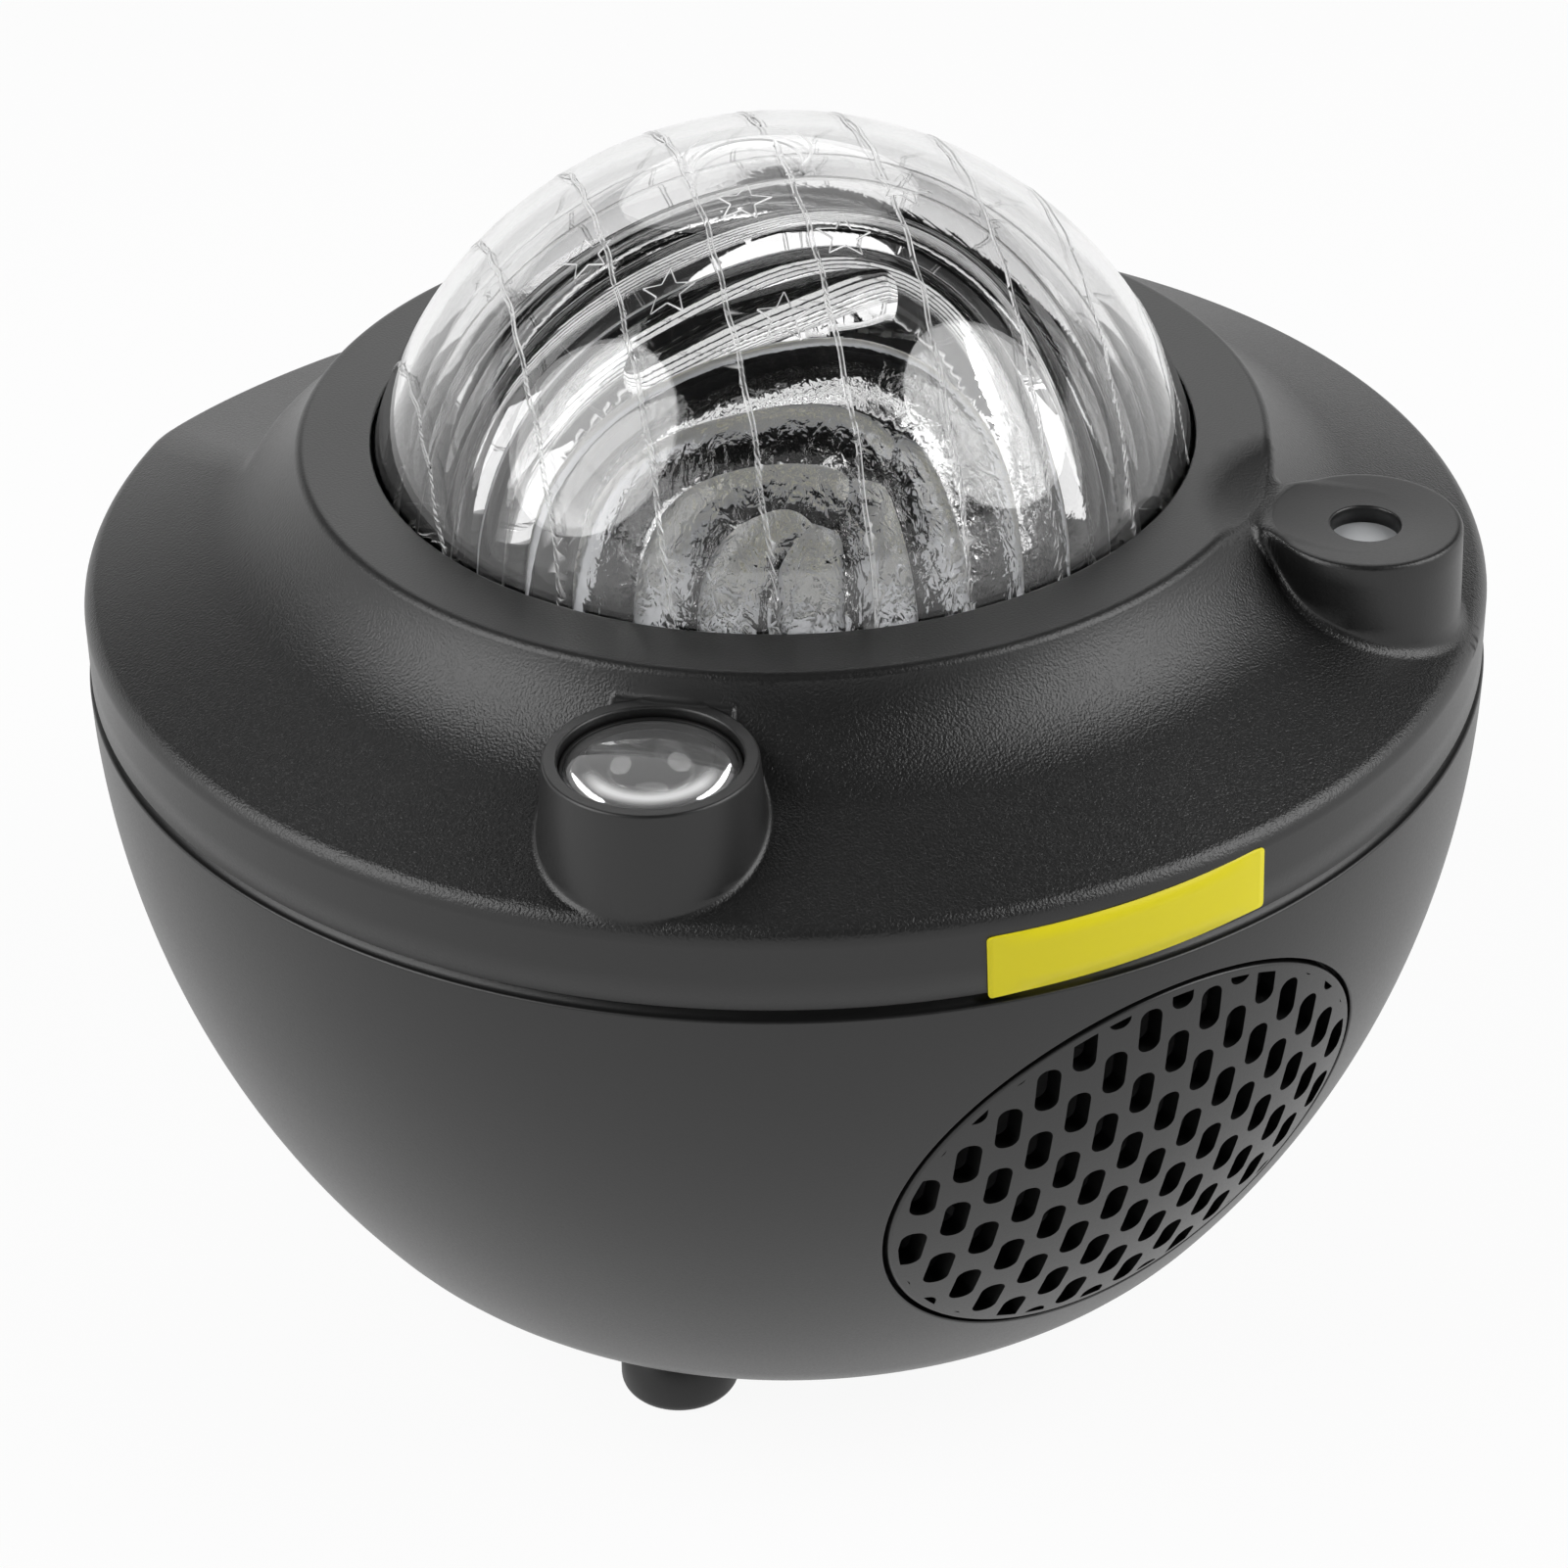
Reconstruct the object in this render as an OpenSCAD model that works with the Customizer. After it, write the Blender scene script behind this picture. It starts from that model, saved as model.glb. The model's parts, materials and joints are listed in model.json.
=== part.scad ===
// Star night light projector. A bowl holds a speaker and the electronics. The cover over it carries a
// clear dome in which a turning ripple dome breaks up the light, a boss with a picture projector and a
// pad with a laser star projector. The speaker faces -Y and the buttons are on a shelf at +Y.

/* [Housing] */
// Height of the seam above the floor
seam_h = 86; // [86:0.5:90]
// Wall of the bowl, the cover and the grille
wall = 2.4; // [2.2:0.1:2.6]
// Radius of the arc down the bowl's side
side_r = 116; // [114:1:120]
// Radius of the arc from the side to the flat bottom
heel_r = 25.2; // [24:0.2:28]
// Height of the shadow groove at the seam
groove_h = 1.2; // [1:0.1:1.4]
// Thickness of the bowl's tongue behind the groove
tongue_t = 1.2; // [1:0.1:1.3]
// Height of the tongue above the seam
tongue_h = 2.2; // [2:0.1:2.4]

/* [Cover] */
// Height of the cover's upright band above the seam
band_h = 10.2; // [9.8:0.1:10.6]
// How far the band stands back from the bowl
band_step = 0.3; // [0.2:0.1:0.5]
// Rounding of the band's top edge
band_edge_r = 1.6; // [1.2:0.1:2]
// Slope of the cover inside the band, in degrees
slope_a = 20.3; // [19:0.1:21]
// Radius of the sweep from the slope up to the collar
sweep_r = 20; // [19:0.5:21]
// Width of the collar's flat top, up to its rounded edge
collar_w = 8.65; // [8.4:0.05:9]
// Height of the collar above the seam
collar_h = 26.2; // [26:0.1:27]
// Rounding of the collar's outer edge
collar_edge_r = 1.5; // [1:0.1:2]
// How far the opening's edge laps in over the dome
dome_lap = 2.15; // [2:0.05:2.4]

/* [Dome] */
// Outer radius of the clear dome
dome_r = 50.8; // [50.5:0.1:51.5]
// Wall of the clear dome
dome_t = 1.8; // [1.6:0.1:2]
// Gap between the dome and the edge of its opening
dome_gap = 0.35; // [0.3:0.05:0.5]
// Thickness of the dome's flange
flange_t = 2.2; // [2:0.1:2.4]
// How far the dome's flange stands out past the dome
flange_out = 1.8; // [1.6:0.1:2]
// Thickness of the ring that clamps the flange
clamp_t = 3; // [2.6:0.1:3.2]

/* [Ripple dome] */
// Gap between the ripple crests and the clear dome
ripple_gap = 2; // [1.8:0.1:2.4]
// Height of a ripple from valley to crest
ripple_h = 2.2; // [1.6:0.1:2.4]
// Number of ripples from pole to pole
ripple_n = 15; // [11:2:19]
// Tilt of the centre of the ripples towards the front, in degrees
ripple_tilt = 55; // [45:1:60]
// Turn of the ripples' centre from the speaker's side, in degrees
ripple_az = -20; // [-40:1:40]
// Wall of the ripple dome at a valley
ripple_t = 1.6; // [1.4:0.1:1.8]
// Teeth of the ripple gear
ring_teeth = 90; // [90:6:96]
// Teeth of the motor pinion
pinion_teeth = 12; // [12:6:12]
// Height of the ripple gear
ring_h = 5.6; // [5:0.1:6]
// Gap that lets a moving piece run past a fixed one
run_gap = 0.3; // [0.3:0.05:0.4]
// Radial clearance of a turning fit
shaft_gap = 0.05; // [0.04:0.01:0.08]

/* [Projector bosses] */
// Distance of both bosses' axes outside the collar
boss_out = 12.7; // [12.6:0.1:13]
// Distance of the seam outside the bosses' axes
rim_out = 14; // [13.9:0.1:14.5]
// Angle of both bosses from the speaker's side, in degrees
boss_a = 42; // [40:0.5:44]
// Outer radius of the lens boss at its top
lens_boss_r = 11.6; // [11.5:0.1:12]
// Draft of the lens boss, in degrees
lens_draft = 5.5; // [4:0.1:6]
// Height of the lens boss above the seam
lens_boss_h = 23.2; // [23:0.1:24]
// Radius of the bore in the lens boss
lens_bore_r = 9.95; // [9.7:0.05:10]
// Outer radius of the laser pad
pad_r = 11.1; // [11:0.1:11.5]
// Height of the laser pad above the seam
pad_h = 24; // [23.6:0.1:24.4]
// Depth of the dish in the laser pad
dish_h = 0.8; // [0.4:0.1:1]
// Radius of the laser window's hole
window_r = 4; // [3.8:0.1:4.4]
// Width of the bridges from the bosses to the collar
bridge_w = 13.2; // [12.8:0.1:14]

/* [Grille] */
// Half width of the oval grille
grille_a = 32; // [31:0.2:32.4]
// Half height of the oval grille
grille_b = 28.2; // [27:0.2:28.4]
// Depth of the grille's centre below the seam
grille_drop = 32.7; // [32:0.1:33.4]
// Gap round the grille
grille_gap = 0.35; // [0.3:0.05:0.5]
// Width of a slot
slot_w = 3.1; // [2.7:0.1:3.2]
// Height of a slot
slot_h = 5.8; // [5.4:0.1:6]
// Distance between columns of slots
slot_dx = 4; // [4:0.1:4.4]
// Distance between slots in a column
slot_dz = 9.2; // [9:0.1:9.8]

/* [Speaker] */
// Radius of the speaker's flange
speaker_r = 26; // [25:0.2:26.4]
// Radius of the speaker's magnet
magnet_r = 14; // [12:0.5:15]

/* [Controls] */
// Slope of the shelf that carries the buttons, in degrees
shelf_a = 15.5; // [15:0.1:16]
// Half angle that the shelf takes of the rim, in degrees
shelf_span = 35; // [34:0.5:36]
// Width of the shelf inside the seam
shelf_w = 18; // [17.5:0.1:18.5]
// Distance of the buttons inside the seam
button_in = 10; // [9.8:0.1:10.2]
// Angle between neighbouring buttons, in degrees
button_pitch = 12; // [11.5:0.1:12.5]
// Radius of a button
button_r = 3.6; // [3.4:0.1:3.8]
// Gap round a button
button_gap = 0.2; // [0.2:0.05:0.3]
// Height of a button above the shelf
button_up = 1.1; // [1:0.1:1.4]
// Travel of a button
button_travel = 0.6; // [0.5:0.1:0.7]

/* [Feet and inside] */
// Height of the feet below the bowl
foot_h = 8; // [7.5:0.1:8.5]
// Radius of a foot
foot_r = 7.3; // [7:0.1:7.6]
// Distance of the feet outside the flat bottom's edge
foot_out = 1.4; // [0.6:0.1:1.6]
// Angle of the feet from the X axis, in degrees
foot_a = 40.3; // [39.5:0.1:41]
// Height of the chassis plate above the seam
chassis_up = 3.5; // [3.4:0.1:3.8]
// Thickness of the chassis plate
chassis_t = 2.5; // [2.3:0.1:2.7]
// Width of the chassis plate outside the motor's axis
chassis_rim = 5; // [4.6:0.1:5.4]
// Height of the main board above the bowl's bottom
board_up = 16; // [15.6:0.1:16.4]
// Thickness of every circuit board
board_t = 1.6; // [1.4:0.1:1.8]
// Radius of the hole for the power plug
jack_r = 5.6; // [5.4:0.1:5.8]

/* [Hidden] */

$fn = 72;
facet_a = 4;       // step along the arcs of a profile, in degrees
over = 1;          // how far a cut runs past what it cuts
fit = 0.1;         // gap of a push fit
screw_r = 1.4;     // thread of every screw
screw_gap = 0.05;  // gap round a thread
small_head_r = 2.4;
small_head_h = 1.4;

// Radii outwards from the dome
open_r = dome_r - dome_lap;
flange_r = dome_r + flange_out;
collar_r = open_r + collar_w;
boss_pos = collar_r + boss_out;
rim_r = boss_pos + rim_out;

// Bowl
arc_off = side_r - rim_r;
heel_z = foot_h + heel_r;
heel_x = sqrt(pow(side_r - heel_r, 2) - pow(seam_h - heel_z, 2)) - arc_off;
heel_a = asin((seam_h - heel_z) / (side_r - heel_r));
foot_x = (heel_x + foot_out) * cos(foot_a);
foot_y = (heel_x + foot_out) * sin(foot_a);
foot_edge = 0.8;    // bevel under a foot
plug_l = 4;         // length of a foot's plug in its post
bowl_top = seam_h - groove_h / 2;
tongue_in = rim_r - wall;
tongue_out = tongue_in + tongue_t;
tongue_top = seam_h + tongue_h;

// Cover
cover_low = seam_h + groove_h / 2;
sticker_t = 0.25;
sticker_l = 34;
sticker_h = 7.8;
sticker_low = cover_low + 0.2;
sticker_az = -94;
band_r = rim_r - band_step;
band_top = seam_h + band_h;
collar_top = seam_h + collar_h;
collar_low = collar_top - wall;
// the sweep's centre, from its distance to the slope line and to the collar's corner
corner_x = band_r - collar_r;
corner_z = collar_h - band_h;
corner_u = corner_x * cos(slope_a) + corner_z * sin(slope_a);
corner_v = corner_z * cos(slope_a) - corner_x * sin(slope_a);
sweep_u = corner_u - sqrt(pow(sweep_r, 2) - pow(sweep_r - corner_v, 2));
sweep_x = band_r - sweep_u * cos(slope_a) + sweep_r * sin(slope_a);
sweep_z = band_top + sweep_u * sin(slope_a) + sweep_r * cos(slope_a);

// Dome
dome_z = collar_top - sqrt(pow(dome_r + dome_gap, 2) - pow(open_r, 2));
dome_low = collar_low - flange_t;
clamp_low = dome_low - clamp_t;
clamp_in = open_r - 0.75;
clamp_screw_pos = flange_r + 2.1;
clamp_out = clamp_screw_pos + 2.1;
clamp_screw_a = 20;
clamp_pillar_r = 2;
clamp_head_r = 2;

// Ripple dome and its drive
ripple_r = dome_r - dome_t - ripple_gap;
ring_top = clamp_low - 3;
ring_low = ring_top - ring_h;
ring_pitch_r = ripple_r - 2;
tooth = 2 * ring_pitch_r / ring_teeth;
pinion_pitch_r = tooth * pinion_teeth / 2;
motor_pos = ring_pitch_r + pinion_pitch_r;
journal_r = ring_pitch_r - 5;
journal_t = 3;
journal_neck_r = journal_r - 0.8;
retainer_t = 1.6;
retainer_r = journal_r + 1.4;
shaft_r = 1.5;
motor_r = 11.5;
motor_h = 14;
motor_ear_t = 1.2;
motor_ear_r = 3.2;
motor_ear_pos = 15;
motor_head_r = 2.6;

// Chassis
plate_low = seam_h + chassis_up;
plate_top = plate_low + chassis_t;
ear_r = 4;
ear_pos = rim_r - 21;
ear_pillar_r = 3.4;
chassis_r = motor_pos + chassis_rim;
ear_angles = [-90, 30, 150];
post_r = 5.6;
post_bore = 3.6;
leg_r = 4.2;
leg_h = 9;
leg_low = plate_low - leg_h;
head_r = 3.2;
head_h = 2;

// Projector bosses
lens_az = -90 - boss_a;
laser_az = -90 + boss_a;
lens_top = seam_h + lens_boss_h;
pad_top = seam_h + pad_h;
boss_low = seam_h + 4;
lens_foot_r = lens_boss_r + (lens_top - boss_low) * tan(lens_draft);
bridge_drop = 0.6;
pad_bore = pad_r - wall + 0.2;
dish_r = pad_r - 1.5;
dish_ball = ball_under(dish_r, dish_h);
window_top = pad_top - wall - dish_h / 2;
barrel_r = lens_bore_r - fit;
barrel_in = barrel_r - 1.5;
lens_seat = lens_top - 3.6;
lens_edge = 1;
lens_ring_t = 0.9;
crown_r = 8.6;
crown_h = 2.6;
barrel_low = plate_low - 15.5;
barrel_ear_r = 11;
barrel_ear_t = 1.5;
barrel_step = 1.2;   // how far the two seats stand in from the barrel's bore
barrel_seat_t = 1;
condenser_seat = barrel_low + 3.5;
condenser_edge = 0.8;
condenser_h = 3;
slide_seat = barrel_low + 9;
slide_t = 0.8;
picture_led_r = 1.4;
picture_sink_r = 8.4;
picture_sink_h = 8;
picture_sink_slot = 2.4;
picture_sink_pitch = 4.4;
picture_sink_base = 2;
laser_r = 4.5;
laser_out = 6;
laser_l = 26;
laser_bore = 1.5;
laser_holder_l = 17;
window_rim = 1.4;
window_t = 1.2;
grating_bore = 4.2;
grating_low = plate_top + 5.5;
grating_h = 3;
bush_bore = 3;
bush_flange_r = 8.4;
bush_flange_t = 1.2;
bush_neck_r = 5.5;
grating_rim = 1.6;
grating_t = 0.5;
grating_teeth = 24;
grating_tooth = 0.6;
grating_pinion_teeth = 10;
grating_pitch_r = grating_tooth * grating_teeth / 2;
grating_pinion_r = grating_tooth * grating_pinion_teeth / 2;
grating_motor_pos = boss_pos - grating_pitch_r - grating_pinion_r;
grating_motor_r = 3.8;
grating_motor_h = 11;
grating_shaft_r = 0.75;

// Main light
sink_r = 20;
sink_flange_r = 23;
sink_top = plate_top + 2.5;
sink_h = 14;
sink_fin = 2;
sink_pitch = 5;
sink_slot = sink_pitch - sink_fin;
sink_base = 3;
led_board_r = 15;
led_screw_r = 0.8;
led_screw_pos = (sink_r + sink_flange_r) / 2 + 0.2;
led_head_r = 1.4;
led_head_h = 1.2;
led_pos = 5;
led_w = 3.6;
led_h = 1;
led_dome_r = 1.3;
led_dome_h = 0.8;

// Grille and speaker
grille_z = seam_h - grille_drop;
grille_lip = 2.5;
lip_t = 1.2;
grille_near = 30;  // where the cuts for the grille start, on the way out from the axis
slot_edge = 1.1;
speaker_tilt = asin(grille_drop / side_r);
speaker_front = side_r - wall - 11;
speaker_ear_r = 3.2;
speaker_ear_pos = (grille_a + grille_b) / 2 + grille_lip + 4.5;
speaker_drop = (side_r - speaker_front) * tan(speaker_tilt);
speaker_t = 1.5;   // thickness of the basket's flange and of its wall
speaker_head_r = 2.4;
gasket_w = 2.2;
gasket_t = 2;
coil_r = 5;
coil_t = 0.6;
coil_low = -10.8;
cone_deep = 6;     // how far the cone's middle lies back
basket_h = 12;
basket_hole_r = 5.4;
magnet_h = 4.5;
pole_r = 4;

// Shelf with the buttons
shelf_r = rim_r - shelf_w;
button_pos = rim_r - button_in;
shelf_edge = band_r * cos(shelf_span);
shelf_edge_z = seam_h + band_h - band_edge_r * tan(45 - slope_a / 2);
button_z = shelf_edge_z - (button_pos - shelf_edge) * tan(shelf_a);
button_count = 4;
guide_t = 1;
guide_out = 0.9;
button_edge = 0.5;
button_stem_r = 1.6;
switch_w = 6;
board_pillar_r = 2.4;
switch_h = 2.2;
plunger_h = 0.5;
stem_low = wall + run_gap + guide_t + 0.4;
switch_top = stem_low + button_travel + 0.15;
button_board_top = switch_top + plunger_h + switch_h;

// Main board
board_z = foot_h + board_up;
board_top = board_z + board_t;
jack_h = 11;
jack_w = 9;
jack_l = 14;
jack_nose = 3.5;
jack_bore_r = 2.9;
jack_pin_r = 1;
jack_over = 7.5;   // how far the jack stands out past the board
jack_z = board_top + jack_h / 2;
jack_back = bowl_at(board_top, wall) - 0.7;
board_x = foot_x - post_r - 1.4;
board_front = 4 - foot_y;
board_back = jack_back - jack_over;
standoff_r = 2.6;
standoff_x = board_x - 4;
standoff_front = board_front + 5;
standoff_back = board_back - 6;
// centre, width, depth and height of each chip
chips = [[0, 4, 12, 12, 1.4], [-14.5, 22, 11, 16, 2], [12, 22.5, 8, 5, 1.6], [9, 37, 6, 6, 1.6]];
capacitor_r = 3.2;
capacitor_h = 8;
socket_w = 8;
socket_d = 6;
socket_h = 5;
socket_t = 1;

// ---------------------------------------------------------------- helpers

function arc(cx, cz, r, from, to) =
    let (n = ceil(abs(to - from) / facet_a))
    [for (i = [0:n]) let (a = from + (to - from) * i / n) [cx + r * cos(a), cz + r * sin(a)]];

function oval(a, b, n = 72) = [for (i = [0:n - 1]) [a * cos(360 * i / n), b * sin(360 * i / n)]];

// Teeth as straight-sided trapezoids, a little thin so that a pair runs free
function gear_points(teeth, size) =
    let (pitch = size * teeth / 2, step = 360 / teeth)
    [for (i = [0:teeth - 1]) each [
        for (p = [[-0.31, -1.15], [-0.13, 0.88], [0.13, 0.88], [0.31, -1.15]])
            let (r = pitch + p[1] * size, a = (i + p[0]) * step)
            [r * cos(a), r * sin(a)]]];

// Radius of the ball that a cap of radius r and height h is cut from
function ball_under(r, h) = (pow(r, 2) + pow(h, 2)) / (2 * h);

module ring(r_out, r_in, low, high) {
    translate([0, 0, low]) difference() {
        cylinder(r = r_out, h = high - low);
        translate([0, 0, -over]) cylinder(r = r_in, h = high - low + 2 * over);
    }
}

module rod(r, low, high) {
    translate([0, 0, low]) cylinder(r = r, h = high - low);
}

module block(x, y, z) {
    translate([x[0], y[0], z[0]]) cube([x[1] - x[0], y[1] - y[0], z[1] - z[0]]);
}

module polar(az, r) {
    rotate([0, 0, az]) translate([r, 0, 0]) children();
}

// Screw with its head down at low
module screw(low, length, head = head_r) {
    rod(head, low, low + head_h);
    rod(screw_r, low + head_h / 2, low + head_h + length);
}

// Frame with +Z out through the speaker, level with the grille's centre at the speaker's flange
module speaker_frame() {
    translate([0, arc_off, seam_h]) rotate([90 + speaker_tilt, 0, 0])
        translate([0, -speaker_drop, 0]) children();
}

// Frame on the shelf at a button, with +Z out through the button
module button_frame(i) {
    a = (i - (button_count - 1) / 2) * button_pitch;
    translate([button_pos * sin(a), button_pos * cos(a),
        button_z + button_pos * (1 - cos(a)) * tan(shelf_a)]) rotate([-shelf_a, 0, 0]) children();
}

// ---------------------------------------------------------------- housing

// Radius of the bowl's side at a height z, at a depth t inside its surface
function bowl_at(z, t) = sqrt(pow(side_r - t, 2) - pow(seam_h - z, 2)) - arc_off;

// Half outline of the bowl at a depth t inside its surface, from the seam to the axis
function bowl_half(t) = concat(
    arc(-arc_off, seam_h, side_r - t, 0, -heel_a),
    arc(heel_x, heel_z, heel_r - t, -heel_a - facet_a, -90),
    [[0, foot_h + t]]);

module bowl_solid(t) {
    rotate_extrude() polygon(concat([[0, seam_h]], bowl_half(t)));
}

// Ellipse along Y through the bowl's front
module grille_cut(inset, near, far) {
    translate([0, -near, grille_z]) rotate([90, 0, 0]) linear_extrude(far - near)
        polygon(oval(grille_a - inset, grille_b - inset));
}

// The four places where the speaker is screwed to the bowl
module speaker_posts(r, low, high) {
    speaker_frame() for (k = [0:3]) polar(45 + 90 * k, speaker_ear_pos) rod(r, low, high);
}

module case_posts(r, low, high) {
    for (sx = [-1, 1], sy = [-1, 1]) translate([sx * foot_x, sy * foot_y, 0]) rod(r, low, high);
}

module standoffs(r, low, high) {
    for (sx = [-1, 1], y = [standoff_front, standoff_back])
        translate([sx * standoff_x, y, 0]) rod(r, low, high);
}

module bottom_bowl() {
    color("#2f3032") difference() {
        union() {
            difference() {
                bowl_solid(0);
                bowl_solid(wall);
                rod(rim_r + over, bowl_top, seam_h + over);
            }
            ring(tongue_out, tongue_in, bowl_top - wall, tongue_top);
            intersection() {
                union() {
                    case_posts(post_r, foot_h, leg_low);
                    standoffs(standoff_r, foot_h, board_z);
                    speaker_posts(standoff_r, speaker_front, side_r);
                }
                bowl_solid(wall / 2);
            }
        }
        grille_cut(0, grille_near, rim_r + over);
        case_posts(post_bore, 0, leg_low - wall);
        case_posts(screw_r + screw_gap, 0, seam_h);
        standoffs(screw_r + screw_gap, board_z - 7, board_z + over);
        speaker_posts(screw_r + screw_gap, speaker_front - over, speaker_front + 3.2);
        along_jack(jack_r, jack_back - over, rim_r);
    }
}

// Outline of the cover's outside, from the band's foot to the dome's opening
function cover_outside() =
    let (
        edge_z = band_top - band_edge_r * (1 - sin(slope_a)) / cos(slope_a),
        lip_z = collar_top - collar_edge_r,
        lip_x = sweep_x - sqrt(pow(sweep_r + collar_edge_r, 2) - pow(sweep_z - lip_z, 2)),
        lip_a = atan2(sweep_z - lip_z, sweep_x - lip_x))
    concat(
        [[band_r, cover_low]],
        arc(band_r - band_edge_r, edge_z, band_edge_r, 0, 90 - slope_a),
        arc(sweep_x, sweep_z, sweep_r, 270 - slope_a, 180 + lip_a),
        arc(lip_x, lip_z, collar_edge_r, lip_a, 90),
        [[open_r, collar_top]]);

// Outline of the cover's inside, one wall under the outside
function cover_inside() =
    let (
        edge_z = band_top - wall * (1 - sin(slope_a)) / cos(slope_a),
        r = sweep_r + wall,
        top_a = 180 + asin((sweep_z - collar_low) / r))
    concat(
        [[tongue_out + fit, cover_low - over], [tongue_out + fit, tongue_top + run_gap],
            [band_r - wall, tongue_top + run_gap], [band_r - wall, edge_z]],
        arc(sweep_x, sweep_z, r, 270 - slope_a, top_a),
        [[0, collar_low]]);

module cover_solid() {
    rotate_extrude() polygon(concat([[0, cover_low]], cover_outside(), [[0, collar_top]]));
}

// The space over the shelf that is taken out of the slope, at a depth t under the shelf
module shelf_cut(t) {
    difference() {
        translate([0, button_pos, button_z]) rotate([-shelf_a, 0, 0])
            block([-rim_r, rim_r], [-button_pos / 2, rim_r], [-t, rim_r]);
        rod(shelf_r - t, 0, collar_top + rim_r);
    }
}

// Flat bridge from a boss to the collar
module bridge(az, high) {
    polar(az, boss_pos) block([collar_r - boss_pos - wall, 0], [-bridge_w / 2, bridge_w / 2],
        [boss_low, high]);
}

module clamp_screw_holes(r, low, high) {
    for (k = [0:3]) polar(clamp_screw_a + 90 * k, clamp_screw_pos) rod(r, low, high);
}

// Pillars under the shelf that carry the button board, their holes and their screws
module board_pillars(r, low, high) {
    for (i = [0, button_count - 2]) button_frame(i + 0.5) rod(r, low, high);
}

module top_cover() {
    color("#37383a") difference() {
        union() {
            difference() {
                union() {
                    difference() {
                        cover_solid();
                        shelf_cut(0);
                    }
                    polar(lens_az, boss_pos) translate([0, 0, boss_low])
                        cylinder(r1 = lens_foot_r, r2 = lens_boss_r, h = lens_top - boss_low);
                    polar(laser_az, boss_pos) rod(pad_r, boss_low, pad_top);
                    bridge(lens_az, lens_top - bridge_drop);
                    bridge(laser_az, pad_top - bridge_drop);
                }
                difference() {
                    rotate_extrude() polygon(concat([[0, cover_low - over]], cover_inside()));
                    shelf_cut(wall);
                }
                polar(lens_az, boss_pos) rod(lens_bore_r, 0, lens_top + over);
                polar(laser_az, boss_pos) {
                    rod(pad_bore, 0, window_top);
                    rod(window_r, 0, pad_top + over);
                    translate([0, 0, pad_top - dish_h + dish_ball]) sphere(r = dish_ball);
                }
            }
            // pillars for the clamp ring, the chassis and the button board
            intersection() {
                union() {
                    clamp_screw_holes(clamp_pillar_r, dome_low, collar_top - 0.5);
                    for (a = ear_angles) polar(a, ear_pos) rod(ear_pillar_r, plate_top, collar_top);
                    board_pillars(board_pillar_r, -button_board_top, -wall / 2);
                }
                difference() {
                    cover_solid();
                    shelf_cut(wall / 2);
                }
            }
        }
        translate([0, 0, dome_z]) sphere(r = dome_r + dome_gap);
        clamp_screw_holes(screw_r + screw_gap, dome_low - over, collar_low + 0.6);
        for (a = ear_angles) polar(a, ear_pos) rod(screw_r + screw_gap, plate_low, plate_top + 6.5);
        board_pillars(screw_r + screw_gap, -button_board_top - over, -wall);
        for (i = [0:button_count - 1]) button_frame(i) rod(button_r + button_gap, -2 * wall, wall);
    }
}

module yellow_sticker() {
    color("#e8dc34") intersection() {
        ring(band_r + sticker_t, band_r, sticker_low, sticker_low + sticker_h);
        rotate([0, 0, sticker_az])
            block([band_r / 2, rim_r], [-sticker_l / 2, sticker_l / 2], [0, collar_top]);
    }
}

module foot(sx, sy) {
    color("#1b1b1c") {
        difference() {
            translate([sx * foot_x, sy * foot_y, 0]) {
                rod(foot_r, foot_edge, foot_h + heel_r / 2);
                cylinder(r1 = foot_r - foot_edge, r2 = foot_r, h = foot_edge);
            }
            bowl_solid(0);
        }
        translate([sx * foot_x, sy * foot_y, 0]) rod(post_bore - fit, foot_h - over, foot_h + plug_l);
    }
}

module front_left_foot() { foot(-1, -1); }
module front_right_foot() { foot(1, -1); }
module rear_left_foot() { foot(-1, 1); }
module rear_right_foot() { foot(1, 1); }

module case_screws() {
    color("#9a9ca0") for (sx = [-1, 1], sy = [-1, 1]) translate([sx * foot_x, sy * foot_y, 0])
        screw(leg_low - wall - head_h, wall + leg_h - 2);
}

// ---------------------------------------------------------------- dome

module outer_dome() {
    color("#e6edf2", 0.35) difference() {
        union() {
            intersection() {
                translate([0, 0, dome_z]) sphere(r = dome_r);
                rod(dome_r + over, dome_low, dome_z + dome_r + over);
            }
            rod(flange_r, dome_low, collar_low);
        }
        translate([0, 0, dome_z]) sphere(r = dome_r - dome_t);
    }
}

module dome_clamp_ring() {
    color("#141415") difference() {
        ring(clamp_out, clamp_in, clamp_low, dome_low);
        clamp_screw_holes(screw_r + screw_gap, clamp_low - over, dome_low + over);
    }
}

module clamp_screws() {
    color("#9a9ca0") for (k = [0:3]) polar(clamp_screw_a + 90 * k, clamp_screw_pos)
        screw(clamp_low - head_h, clamp_t + flange_t + 0.2, clamp_head_r);
}

// ---------------------------------------------------------------- ripple dome and its drive

// Radius of the rippled surface at an angle from the ripples' pole
function ripple_at(a) = ripple_r - ripple_h / 2 + ripple_h / 2 * cos(a * 2 * ripple_n);

module ripple_dome() {
    step = 180 / ripple_n / 8;
    inner = ripple_r - ripple_h - ripple_t;
    color("#eef3f6", 0.35) union() {
        intersection() {
            translate([0, 0, dome_z]) rotate([0, 0, ripple_az]) rotate([ripple_tilt, 0, 0]) difference() {
                rotate_extrude() polygon([for (i = [0:8 * ripple_n])
                    let (a = i * step) ripple_at(a) * [sin(a), cos(a)]]);
                sphere(r = inner);
            }
            rod(dome_r, ring_top + 1.5, dome_z + dome_r);
        }
        ring(ring_pitch_r + 0.6, retainer_r + run_gap, ring_top, ring_top + 2);
    }
}

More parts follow.
